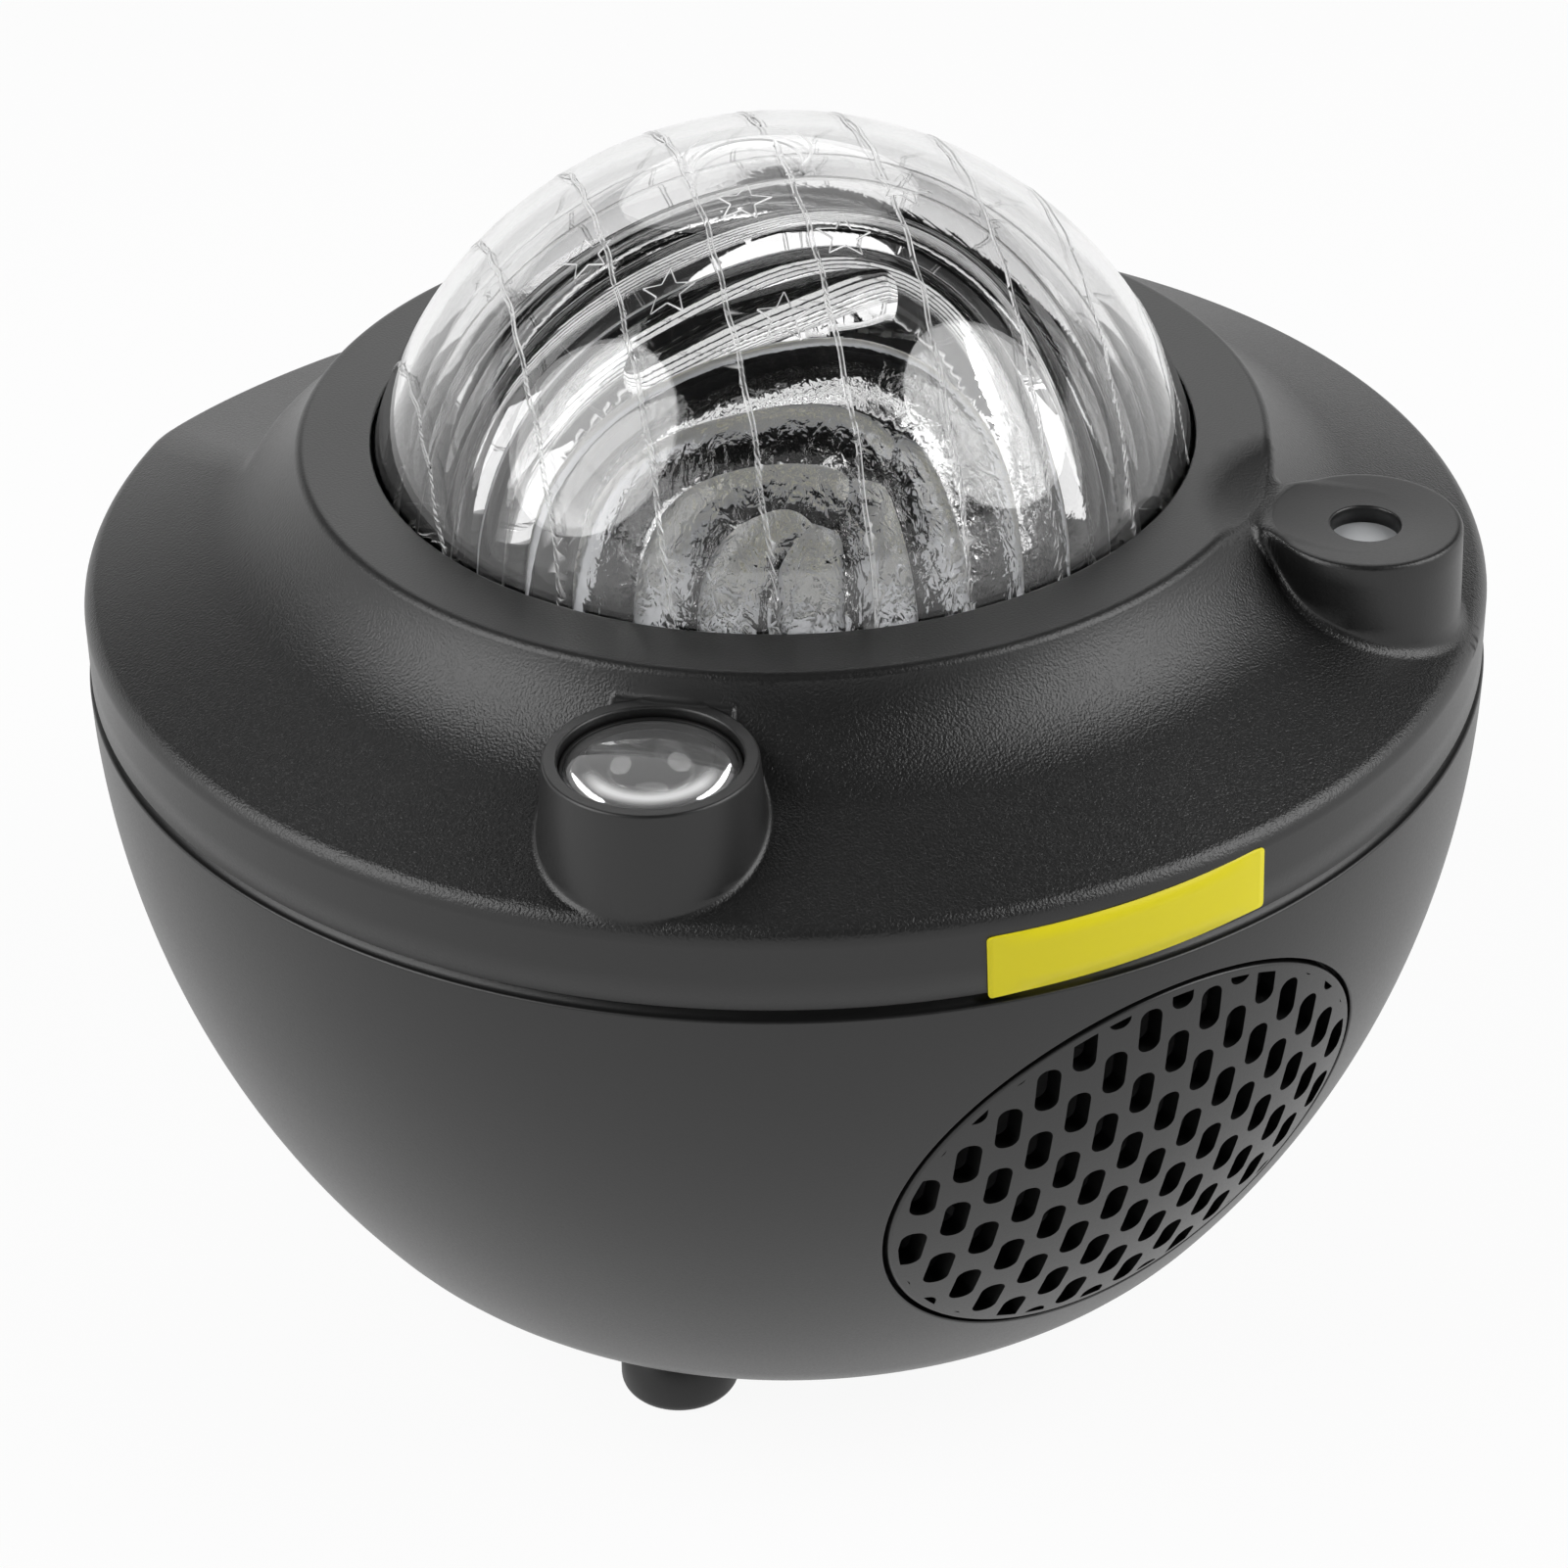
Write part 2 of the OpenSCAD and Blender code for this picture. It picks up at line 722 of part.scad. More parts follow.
module ripple_gear() {
    color("#d9dadb") difference() {
        rotate([0, 0, 180 / ring_teeth]) translate([0, 0, ring_low]) linear_extrude(ring_h)
            polygon(gear_points(ring_teeth, tooth));
        rod(journal_r + shaft_gap, ring_low - over, ring_top + over);
    }
}

module gear_retainer() {
    low = ring_top + run_gap;
    color("#3a3b3d") ring(retainer_r, journal_neck_r, low, low + retainer_t);
}

module motor_ears(r, low, high) {
    for (sy = [-1, 1]) translate([motor_pos, sy * motor_ear_pos, 0]) rod(r, low, high);
}

module motor_pinion() {
    color("#f0f0ee") {
        translate([motor_pos, 0, ring_low + run_gap]) linear_extrude(ring_h - 2 * run_gap)
            polygon(gear_points(pinion_teeth, tooth));
        translate([motor_pos, 0, 0]) rod(shaft_r, plate_low - 3.5, ring_low + over);
    }
}

module ripple_motor() {
    color("#b9bcc0") difference() {
        union() {
            translate([motor_pos, 0, 0]) rod(motor_r, plate_low - motor_h, plate_low);
            block([motor_pos - motor_ear_r, motor_pos + motor_ear_r], [-motor_ear_pos, motor_ear_pos],
                [plate_low - motor_ear_t, plate_low]);
            motor_ears(motor_ear_r, plate_low - motor_ear_t, plate_low);
        }
        translate([motor_pos, 0, 0]) rod(shaft_r + shaft_gap, plate_low - 4, plate_low + over);
        motor_ears(screw_r + screw_gap, plate_low - motor_ear_t - over, plate_low + over);
    }
}

module motor_screws() {
    color("#9a9ca0") for (sy = [-1, 1]) translate([motor_pos, sy * motor_ear_pos, 0])
        screw(plate_low - motor_ear_t - head_h, motor_ear_t + chassis_t, motor_head_r);
}

// ---------------------------------------------------------------- chassis

module chassis_plate() {
    color("#18191a") difference() {
        union() {
            rod(chassis_r, plate_low, plate_top);
            ring(journal_r, journal_r - journal_t, plate_low, ring_top + run_gap);
            ring(journal_neck_r, journal_r - journal_t, plate_low, ring_top + run_gap + retainer_t);
            ring(journal_r + 3, journal_r - journal_t, plate_low, ring_low - run_gap);
            case_posts(leg_r, leg_low, plate_top);
            intersection() {
                union() {
                    for (az = [lens_az, laser_az]) rotate([0, 0, az]) {
                        block([sink_r, boss_pos], [-barrel_ear_r, barrel_ear_r], [plate_low, plate_top]);
                        translate([boss_pos, 0, 0]) rod(barrel_ear_r, plate_low, plate_top);
                    }
                    for (a = ear_angles) rotate([0, 0, a]) {
                        block([sink_r, ear_pos], [-ear_r, ear_r], [plate_low, plate_top]);
                        translate([ear_pos, 0, 0]) rod(ear_r, plate_low, plate_top);
                    }
                }
                rod(band_r - wall - run_gap - 1.5, plate_low, plate_top);
            }
        }
        rod(sink_r + fit, plate_low - over, plate_top + over);
        case_posts(screw_r + screw_gap, leg_low - over, plate_top - 1);
        for (a = ear_angles) polar(a, ear_pos) rod(screw_r + screw_gap, plate_low - over, plate_top + over);
        translate([motor_pos, 0, 0]) rod(2 * shaft_r, plate_low - over, plate_top + over);
        motor_ears(screw_r + screw_gap, plate_low - over, plate_top + over);
        polar(lens_az, boss_pos) rod(barrel_r + fit, plate_low - over, plate_top + over);
        polar(laser_az, boss_pos) rod(laser_r + fit, plate_low - over, plate_top + over);
        polar(laser_az, grating_motor_pos) rod(2, plate_low - over, plate_top + over);
        for (k = [0:1]) polar(90 + 180 * k, led_screw_pos)
            rod(led_screw_r + screw_gap, plate_low - over, plate_top + over);
    }
}

module chassis_screws() {
    color("#9a9ca0") for (a = ear_angles) polar(a, ear_pos) screw(plate_low - head_h, chassis_t + 6);
}

// ---------------------------------------------------------------- main light

module heat_sink() {
    color("#c9cbce") difference() {
        union() {
            rod(sink_flange_r, plate_top, sink_top);
            rod(sink_r, plate_low - sink_h, sink_top);
        }
        for (k = [-3:3]) translate([sink_pitch * k, 0, 0])
            block([-sink_slot / 2, sink_slot / 2], [-sink_r - over, sink_r + over],
                [plate_low - sink_h - over, plate_low - sink_base]);
        for (k = [0:1]) polar(90 + 180 * k, led_screw_pos)
            rod(led_screw_r + screw_gap, plate_top - over, sink_top + over);
    }
}

module led_board() {
    color("#f4f4f0") rod(led_board_r, sink_top, sink_top + board_t);
}

// Square LED with a round top
module led(dome, low) {
    block([-led_w / 2, led_w / 2], [-led_w / 2, led_w / 2], [low, low + led_h]);
    rod(dome, low + led_h, low + led_h + led_dome_h);
}

module color_leds() {
    colors = ["red", "lime", "blue", "white"];
    for (k = [0:3]) color(colors[k]) polar(90 * k + 45, led_pos) led(led_dome_r, sink_top + board_t);
}

module led_screws() {
    color("#9a9ca0") for (k = [0:1]) polar(90 + 180 * k, led_screw_pos) {
        rod(led_head_r, sink_top, sink_top + led_head_h);
        rod(led_screw_r, plate_low, sink_top);
    }
}

// ---------------------------------------------------------------- picture projector

module projection_lens() {
    ball = ball_under(crown_r, crown_h);
    color("#e8f0f4", 0.35) polar(lens_az, boss_pos) {
        rod(barrel_r - 0.2, lens_seat, lens_seat + lens_edge);
        intersection() {
            translate([0, 0, lens_seat + lens_edge + crown_h - ball]) sphere(r = ball);
            rod(crown_r, lens_seat + lens_edge / 2, lens_top + over);
        }
    }
}

module lens_ring() {
    color("#101011") polar(lens_az, boss_pos)
        ring(barrel_r, barrel_in + 0.35, lens_seat + lens_edge, lens_seat + lens_edge + lens_ring_t);
}

module lens_barrel() {
    color("#1a1a1b") polar(lens_az, boss_pos) {
        ring(barrel_r, barrel_in, barrel_low, lens_seat);
        ring(barrel_ear_r - fit, barrel_in, plate_top, plate_top + barrel_ear_t);
        for (seat = [condenser_seat, slide_seat])
            ring(barrel_r, barrel_in - barrel_step, seat, seat + barrel_seat_t);
    }
}

module condenser_lens() {
    low = condenser_seat + barrel_seat_t;
    dome = barrel_in - 0.5;
    ball = ball_under(dome, condenser_h);
    color("#e8f0f4", 0.35) polar(lens_az, boss_pos) {
        rod(barrel_in - fit, low, low + condenser_edge);
        intersection() {
            translate([0, 0, low + condenser_edge + condenser_h - ball]) sphere(r = ball);
            rod(dome, low + condenser_edge - 0.3, slide_seat);
        }
    }
}

module picture_slide() {
    low = slide_seat + barrel_seat_t;
    color("#4a6ea8") polar(lens_az, boss_pos) rod(barrel_in - fit, low, low + slide_t);
}

module picture_led_board() {
    color("#f4f4f0") polar(lens_az, boss_pos) rod(barrel_r, barrel_low - board_t, barrel_low);
}

module picture_led() {
    color("white") polar(lens_az, boss_pos) {
        block([-led_w / 2, led_w / 2], [-led_w / 2, led_w / 2], [barrel_low, barrel_low + led_h]);
        rod(picture_led_r, barrel_low + led_h, barrel_low + 2 * led_h);
    }
}

module picture_heat_sink() {
    low = barrel_low - board_t;
    color("#c9cbce") polar(lens_az, boss_pos) difference() {
        rod(picture_sink_r, low - picture_sink_h, low);
        for (k = [-1:1]) translate([picture_sink_pitch * k, 0, 0])
            block([-picture_sink_slot / 2, picture_sink_slot / 2], [-barrel_r, barrel_r],
                [low - picture_sink_h - over, low - picture_sink_base]);
    }
}

// ---------------------------------------------------------------- laser projector

module laser_window() {
    color("#dfe2e3", 0.8) polar(laser_az, boss_pos) 
        rod(window_r + window_rim, window_top - window_t, window_top);
}

module laser_module() {
    color("#c6a24c") polar(laser_az, boss_pos) 
        ring(laser_r, laser_bore, plate_top - laser_l, plate_top);
}

module laser_holder() {
    color("#8c9094") polar(laser_az, boss_pos) 
        ring(laser_out, laser_r, plate_low - laser_holder_l, plate_low);
}

module grating_bush() {
    color("#e8e6df") polar(laser_az, boss_pos) {
        ring(bush_flange_r, bush_bore, plate_top, plate_top + bush_flange_t);
        ring(bush_neck_r, bush_bore, plate_top + bush_flange_t, grating_low - run_gap);
        ring(grating_bore, bush_bore, grating_low - run_gap, grating_low + grating_h - run_gap);
    }
}

module grating_gear() {
    color("#f0f0ee") polar(laser_az, boss_pos) difference() {
        translate([0, 0, grating_low]) rotate([0, 0, 180]) linear_extrude(grating_h)
            polygon(gear_points(grating_teeth, grating_tooth));
        rod(grating_bore + shaft_gap, grating_low - over, grating_low + grating_h + over);
    }
}

module grating_disc() {
    color("#9fb6c8", 0.5) polar(laser_az, boss_pos)
        rod(grating_bore + grating_rim, grating_low + grating_h, grating_low + grating_h + grating_t);
}

module grating_pinion() {
    color("#f0f0ee") polar(laser_az, grating_motor_pos) {
        translate([0, 0, grating_low]) rotate([0, 0, 180 / grating_pinion_teeth]) linear_extrude(grating_h)
            polygon(gear_points(grating_pinion_teeth, grating_tooth));
        rod(grating_shaft_r, plate_low - 3, grating_low + over);
    }
}

module grating_motor() {
    color("#b9bcc0") polar(laser_az, grating_motor_pos) difference() {
        rod(grating_motor_r, plate_low - grating_motor_h, plate_low);
        rod(grating_shaft_r + shaft_gap, plate_low - 3.5, plate_low + over);
    }
}

// ---------------------------------------------------------------- speaker

module slots() {
    cols = floor(grille_a / slot_dx);
    rows = ceil(grille_b / slot_dz);
    for (c = [-cols:cols], r = [-rows:rows]) {
        z = (r + (c % 2 == 0 ? 0 : 0.5)) * slot_dz;
        inside = pow(c * slot_dx / grille_a, 2) + pow(z / grille_b, 2);
        if (inside < 1.1) translate([c * slot_dx, z]) {
            square([slot_w - 2 * slot_edge, slot_h], center = true);
            square([slot_w, slot_h - 2 * slot_edge], center = true);
            for (sx = [-1, 1], sz = [-1, 1])
                translate([sx * (slot_w / 2 - slot_edge), sz * (slot_h / 2 - slot_edge)])
                    circle(slot_edge, $fn = 24);
        }
    }
}

module speaker_grille() {
    border = 1.5;
    color("#333436") difference() {
        union() {
            difference() {
                intersection() {
                    difference() {
                        bowl_solid(0);
                        bowl_solid(wall + lip_t);
                    }
                    grille_cut(grille_gap, grille_near, rim_r + over);
                }
                intersection() {
                    bowl_solid(wall);
                    grille_cut(grille_lip, grille_near - over, rim_r + over);
                }
            }
            intersection() {
                difference() {
                    bowl_solid(wall);
                    bowl_solid(wall + lip_t);
                }
                difference() {
                    grille_cut(-grille_lip, grille_near, rim_r);
                    grille_cut(grille_lip, grille_near - over, rim_r + over);
                }
            }
        }
        translate([0, -grille_near, grille_z]) rotate([90, 0, 0]) linear_extrude(rim_r) intersection() {
            slots();
            polygon(oval(grille_a - border, grille_b - border));
        }
    }
}

module speaker_gasket() {
    color("#222222") speaker_frame() 
        ring(speaker_r, speaker_r - gasket_w, speaker_front, speaker_front + gasket_t);
}

module speaker_basket() {
    color("#4a4c50") speaker_frame() difference() {
        union() {
            translate([0, 0, speaker_front]) rotate_extrude() polygon([
                [speaker_r, 0], [speaker_r, -speaker_t], [speaker_r - 3, -speaker_t], [magnet_r, -basket_h],
                [basket_hole_r, -basket_h], [basket_hole_r, 1 - basket_h],
                [magnet_r - speaker_t, 1 - basket_h], [speaker_r - 4.4, -speaker_t], [speaker_r - 3, 0]]);
            for (k = [0:3]) rotate([0, 0, 45 + 90 * k]) difference() {
                union() {
                    block([speaker_r - 2, speaker_ear_pos], [-speaker_ear_r, speaker_ear_r],
                        [speaker_front - speaker_t, speaker_front]);
                    translate([speaker_ear_pos, 0, 0])
                        rod(speaker_ear_r, speaker_front - speaker_t, speaker_front);
                }
                translate([speaker_ear_pos, 0, 0])
                    rod(screw_r + screw_gap, speaker_front - speaker_t - over, speaker_front + over);
            }
        }
    }
}

module speaker_screws() {
    color("#9a9ca0") {
        speaker_posts(speaker_head_r, speaker_front - 2 * speaker_t, speaker_front - speaker_t);
        speaker_posts(screw_r, speaker_front - 2, speaker_front + 2.8);
    }
}

// Half-roll of rubber between the basket and the cone
module speaker_surround() {
    color("#151515") speaker_frame() translate([0, 0, speaker_front]) rotate_extrude() polygon([
        [speaker_r - 2.3, 0], [speaker_r - 2.3, 0.7], [speaker_r - 3.2, 0.7], [speaker_r - 4.8, 1.8],
        [speaker_r - 6.4, 0.7], [speaker_r - 7.4, 0.7], [speaker_r - 7.4, 0], [speaker_r - 6.2, 0],
        [speaker_r - 4.8, 1.1], [speaker_r - 3.4, 0]]);
}

module speaker_cone() {
    color("#2a2a2c") speaker_frame() translate([0, 0, speaker_front]) {
        rotate_extrude() polygon([[speaker_r - 6.2, 0], [speaker_r - 7.4, 0], [7, -cone_deep - 1],
            [4, 0.8 - cone_deep], [0, 1.4 - cone_deep], [0, 0.6 - cone_deep], [4, -cone_deep],
            [7, -cone_deep - 1.9], [8, -cone_deep - 1.7]]);
        ring(coil_r, coil_r - coil_t, coil_low, -cone_deep);
    }
}

module speaker_magnet() {
    back = speaker_front - basket_h;
    magnet_top = back - speaker_t;
    magnet_low = magnet_top - magnet_h;
    color("#5a5c60") speaker_frame() {
        ring(magnet_r - 1, basket_hole_r, magnet_top, back);
        ring(magnet_r, basket_hole_r, magnet_low, magnet_top);
        rod(magnet_r - 1, magnet_low - speaker_t, magnet_low);
        rod(pole_r, magnet_low - speaker_t / 2, back + 1);
    }
}

// ---------------------------------------------------------------- buttons

module button(i) {
    color("#26272a") button_frame(i) {
        rod(button_r, -wall - run_gap - 0.2, button_up - button_edge);
        translate([0, 0, button_up - button_edge])
            cylinder(r1 = button_r, r2 = button_r - button_edge, h = button_edge);
        rod(button_r + guide_out, -wall - run_gap - guide_t, -wall - run_gap);
        rod(button_stem_r, -stem_low, -wall - run_gap);
    }
}

module power_button() { button(0); }
module light_button() { button(1); }
module volume_down_button() { button(2); }
module volume_up_button() { button(3); }

module button_board() {
    color("#2f6b3c") difference() {
        intersection() {
            translate([0, button_pos, button_z]) rotate([-shelf_a, 0, 0])
                block([-rim_r / 3, rim_r / 3], [-8, 8], [-button_board_top - board_t, -button_board_top]);
            rod(tongue_in - 2 * run_gap, 0, collar_top);
        }
        board_pillars(screw_r + screw_gap, -button_board_top - board_t - over, -button_board_top + over);
    }
}

module button_switches() {
    color("#1d1d1f") for (i = [0:button_count - 1]) button_frame(i) {
        block([-switch_w / 2, switch_w / 2], [-switch_w / 2, switch_w / 2],
            [-button_board_top, -button_board_top + switch_h]);
        rod(button_stem_r, -button_board_top + switch_h, -switch_top);
    }
}

module button_screws() {
    low = -button_board_top - board_t;
    color("#9a9ca0") {
        board_pillars(small_head_r, low - small_head_h, low);
        board_pillars(screw_r, low - small_head_h / 2, -wall - run_gap);
    }
}

// ---------------------------------------------------------------- electronics

module main_board() {
    color("#2f6b3c") difference() {
        block([-board_x, board_x], [board_front, board_back], [board_z, board_top]);
        standoffs(screw_r + screw_gap, board_z - over, board_top + over);
    }
}

module board_screws() {
    color("#9a9ca0") for (sx = [-1, 1], y = [standoff_front, standoff_back])
        translate([sx * standoff_x, y, 0]) {
            rod(standoff_r, board_top, board_top + 1.6);
            rod(screw_r, board_z - 6, board_top);
        }
}

module main_chips() {
    color("#1c1c1e") for (c = chips) translate([c[0], c[1], board_top])
        block([-c[2] / 2, c[2] / 2], [-c[3] / 2, c[3] / 2], [0, c[4]]);
}

module capacitors() {
    y = standoff_back - 6;
    color("#3b4a6b") for (p = [[6 - standoff_x, y], [14 - standoff_x, y], [standoff_x - 4, 8]])
        translate([p[0], p[1], 0]) rod(capacitor_r, board_top, board_top + capacitor_h);
}

module wire_sockets() {
    pitch = 0.8 * (standoff_x - 7);
    x = socket_w / 2;
    y = socket_d / 2;
    color("#ece8dc") for (k = [-1:1]) translate([k * pitch - 2, standoff_front, board_top]) difference() {
        block([-x, x], [-y, y], [0, socket_h]);
        block([socket_t - x, x - socket_t], [socket_t - y, y - socket_t], [socket_t, socket_h + over]);
    }
}

// Rod along the jack's axis
module along_jack(r, near, far) {
    translate([0, 0, jack_z]) rotate([-90, 0, 0]) rod(r, near, far);
}

module power_jack() {
    color("#17181a") difference() {
        union() {
            block([-jack_w / 2, jack_w / 2], [jack_back - jack_l, jack_back],
                [board_top, board_top + jack_h]);
            along_jack(jack_r - fit - 0.2, jack_back, jack_back + jack_nose);
        }
        along_jack(jack_bore_r, jack_back - 7, jack_back + jack_nose + over);
    }
    color("#c9cbce") along_jack(jack_pin_r, jack_back - jack_over, jack_back + jack_nose - 1.5);
}

top_cover();
bottom_bowl();
outer_dome();
dome_clamp_ring();
clamp_screws();
ripple_dome();
ripple_gear();
gear_retainer();
chassis_plate();
chassis_screws();
case_screws();
ripple_motor();
motor_screws();
motor_pinion();
heat_sink();
led_board();
color_leds();
led_screws();
projection_lens();
lens_ring();
lens_barrel();
picture_slide();
condenser_lens();
picture_led_board();
picture_led();
picture_heat_sink();
laser_window();
laser_module();
laser_holder();
grating_bush();
grating_gear();
grating_disc();
grating_motor();
grating_pinion();
speaker_grille();
speaker_gasket();
speaker_basket();
speaker_screws();
speaker_surround();
speaker_cone();
speaker_magnet();
yellow_sticker();
power_button();
light_button();
volume_down_button();
volume_up_button();
button_board();
button_switches();
button_screws();
main_board();
board_screws();
main_chips();
capacitors();
wire_sockets();
power_jack();
front_left_foot();
front_right_foot();
rear_left_foot();
rear_right_foot();
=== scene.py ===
# Night light with a clear dome: its finishes and finer pieces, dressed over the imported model.
import json
import math
import bpy
import bmesh
import numpy as np
from mathutils import Matrix, Vector
from mathutils.geometry import delaunay_2d_cdt


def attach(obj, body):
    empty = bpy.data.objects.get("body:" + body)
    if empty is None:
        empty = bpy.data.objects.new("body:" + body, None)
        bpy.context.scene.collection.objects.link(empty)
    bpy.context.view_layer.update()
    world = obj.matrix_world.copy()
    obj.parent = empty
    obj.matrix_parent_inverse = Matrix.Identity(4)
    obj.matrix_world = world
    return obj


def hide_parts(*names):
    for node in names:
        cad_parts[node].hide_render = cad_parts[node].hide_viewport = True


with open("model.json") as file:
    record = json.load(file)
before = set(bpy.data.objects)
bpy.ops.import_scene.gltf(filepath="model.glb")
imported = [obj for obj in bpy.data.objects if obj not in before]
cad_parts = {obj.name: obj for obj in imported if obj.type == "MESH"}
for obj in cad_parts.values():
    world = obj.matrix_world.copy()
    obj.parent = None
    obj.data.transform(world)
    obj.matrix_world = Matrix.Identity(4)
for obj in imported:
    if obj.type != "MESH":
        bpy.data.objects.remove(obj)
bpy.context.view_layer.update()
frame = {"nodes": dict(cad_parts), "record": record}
mm = 0.001

# Sizes are in millimetres, as in the solids, and heights are from the floor.
housing = {
    "rimRadius": 84.0, "seamHeight": 86.0, "wall": 2.4, "footHeight": 8.0,
    "openRadius": 48.65, "collarRadius": 57.3, "collarTop": 112.2, "collarEdge": 1.5,
    "bandRadius": 83.7, "bandTop": 96.2, "bandEdge": 1.6, "slope": 20.3, "sweepRadius": 20.0,
}
dome = {"radius": 50.8, "wall": 1.8, "gap": 0.35, "flangeRadius": 52.6, "flangeThickness": 2.2}
wall, band, seamZ = housing["wall"], housing["bandRadius"], housing["seamHeight"]
collarTop, bandTop = housing["collarTop"], housing["bandTop"]
domeCut = dome["radius"] + dome["gap"]
domeZ = collarTop - math.sqrt(domeCut ** 2 - housing["openRadius"] ** 2)
domeCentre = (0, 0, domeZ)


# angles are in degrees
def sinOf(angle):
    return math.sin(math.radians(angle))


def cosOf(angle):
    return math.cos(math.radians(angle))


def tanOf(angle):
    return math.tan(math.radians(angle))


def polar(angle, distance):
    return distance * cosOf(angle), distance * sinOf(angle)


def addObject(name, data):
    obj = bpy.data.objects.new(name, data)
    bpy.context.scene.collection.objects.link(obj)
    return obj


# camera
camera = {
    "focalPixels": 4572.3, "imagePixels": 1601, "sensor": 36.0, "distance": 6.4767,
    "elevation": 30.749, "pitch": -2.204, "yaw": 0.059, "roll": 0.939, "turn": -30.0,
}


def turned(v, axis, angle):
    return v * cosOf(angle) + axis.cross(v) * sinOf(angle) + axis * axis.dot(v) * (1 - cosOf(angle))


def makeCamera(c):
    right, back = Vector((1, 0, 0)), Vector((0, -cosOf(c["elevation"]), sinOf(c["elevation"])))
    place = back * c["distance"] * housing["rimRadius"] + Vector((0, 0, seamZ))
    up = back.cross(right)
    back, up = turned(back, right, c["pitch"]), turned(up, right, c["pitch"])
    right, back = turned(right, up, c["yaw"]), turned(back, up, c["yaw"])
    cr, sr = cosOf(c["roll"]), sinOf(c["roll"])
    right, up = right * cr - up * sr, right * sr + up * cr
    right, up, back, place = (turned(v, Vector((0, 0, 1)), c["turn"]) for v in (right, up, back, place))
    data = bpy.data.cameras.new("camera")
    data.sensor_width = c["sensor"]
    data.lens = c["focalPixels"] * c["sensor"] / c["imagePixels"]
    data.clip_start, data.clip_end = 0.01, 20
    obj = addObject("camera", data)
    obj.matrix_world = Matrix([[right[i], up[i], back[i], place[i] * mm] for i in range(3)] + [[0, 0, 0, 1]])
    bpy.context.scene.camera = obj


makeCamera(camera)
print("camera done")


# finishes
class Wire:
    # one output socket, with arithmetic that adds Math nodes
    def __init__(self, finish, socket):
        self.finish, self.socket = finish, socket

    def math(self, operation, *values):
        return self.finish.node("ShaderNodeMath", {"operation": operation}, dict(enumerate(values)))

    def __add__(self, other):
        return self.math("ADD", self, other)

    def __radd__(self, other):
        return self.math("ADD", other, self)

    def __sub__(self, other):
        return self.math("SUBTRACT", self, other)

    def __rsub__(self, other):
        return self.math("SUBTRACT", other, self)

    def __mul__(self, other):
        return self.math("MULTIPLY", self, other)

    def __rmul__(self, other):
        return self.math("MULTIPLY", other, self)

    def above(self, edge, width):
        # 0 below the edge, 1 above it, over a soft width
        sockets = {"Value": self, "From Min": edge - width / 2, "From Max": edge + width / 2}
        return self.finish.node("ShaderNodeMapRange", {"interpolation_type": "SMOOTHSTEP"}, sockets)


class Finish:
    def __init__(self, name, **constants):
        self.material = bpy.data.materials.new(name)
        self.material.use_nodes = True
        self.tree = self.material.node_tree
        self.shader = self.tree.nodes["Principled BSDF"]
        for socket, value in constants.items():
            self.shader.inputs[socket.replace("_", " ")].default_value = value
        self.place = self.node("ShaderNodeTexCoord", output="Object")

    def node(self, kind, settings=None, sockets=None, output=0):
        made = self.tree.nodes.new(kind)
        for key, value in (settings or {}).items():
            setattr(made, key, value)
        for key, value in (sockets or {}).items():
            if isinstance(value, Wire):
                self.tree.links.new(value.socket, made.inputs[key])
            else:
                made.inputs[key].default_value = value
        return Wire(self, made.outputs[output])

    def noise(self, size, detail=2.0, distortion=0.0, place=None):
        # size is the width of a spot in millimetres
        return self.node("ShaderNodeTexNoise", None, {"Vector": place or self.place, "Scale": 1 / (size * mm),
                                                      "Detail": detail, "Distortion": distortion})

    def mix(self, factor, a, b):
        return self.node("ShaderNodeMix", {"data_type": "RGBA"}, {"Factor": factor, 6: a, 7: b}, output=2)

    def share(self, name):
        return self.node("ShaderNodeAttribute", {"attribute_name": name}, output="Fac")

    def set(self, socket, wire):
        self.tree.links.new(wire.socket, self.shader.inputs[socket])

    def bump(self, height, depth):
        # depth in millimetres for a height that runs from 0 to 1
        self.set("Normal", self.node("ShaderNodeBump", None, {"Height": height, "Distance": depth * mm}))

    def over(self, factor, other):
        # lays another shader over this one
        mine = Wire(self, self.shader.outputs[0])
        both = self.node("ShaderNodeMixShader", None, {0: factor, 1: mine, 2: other})
        self.tree.links.new(both.socket, self.tree.nodes["Material Output"].inputs["Surface"])


def gray(level):
    return (level, level, level, 1)


def scaled(color, factor):
    return tuple(c * factor for c in color[:3]) + (1,)


def mouldedPlastic(name, color, rough, grain, depth, tint=None, level=0.5, grained=False):
    # a grained one is as rough as the piece's own "grain" says, over a fine satin texture
    f = Finish(name, Specular_IOR_Level=level)
    spots, clouds = f.noise(grain, detail=1.5 if grained else 3), f.noise(38)
    f.set("Base Color", f.mix(clouds.above(0.5, 0.5), color, tint or scaled(color, 1.18)))
    f.set("Roughness", rough + (clouds - 0.5) * 0.08 + (spots - 0.5) * (0.12 if grained else 0.1))
    f.bump(spots * (0.12 + f.share("grain") * 0.88) if grained else spots, depth)
    return f.material


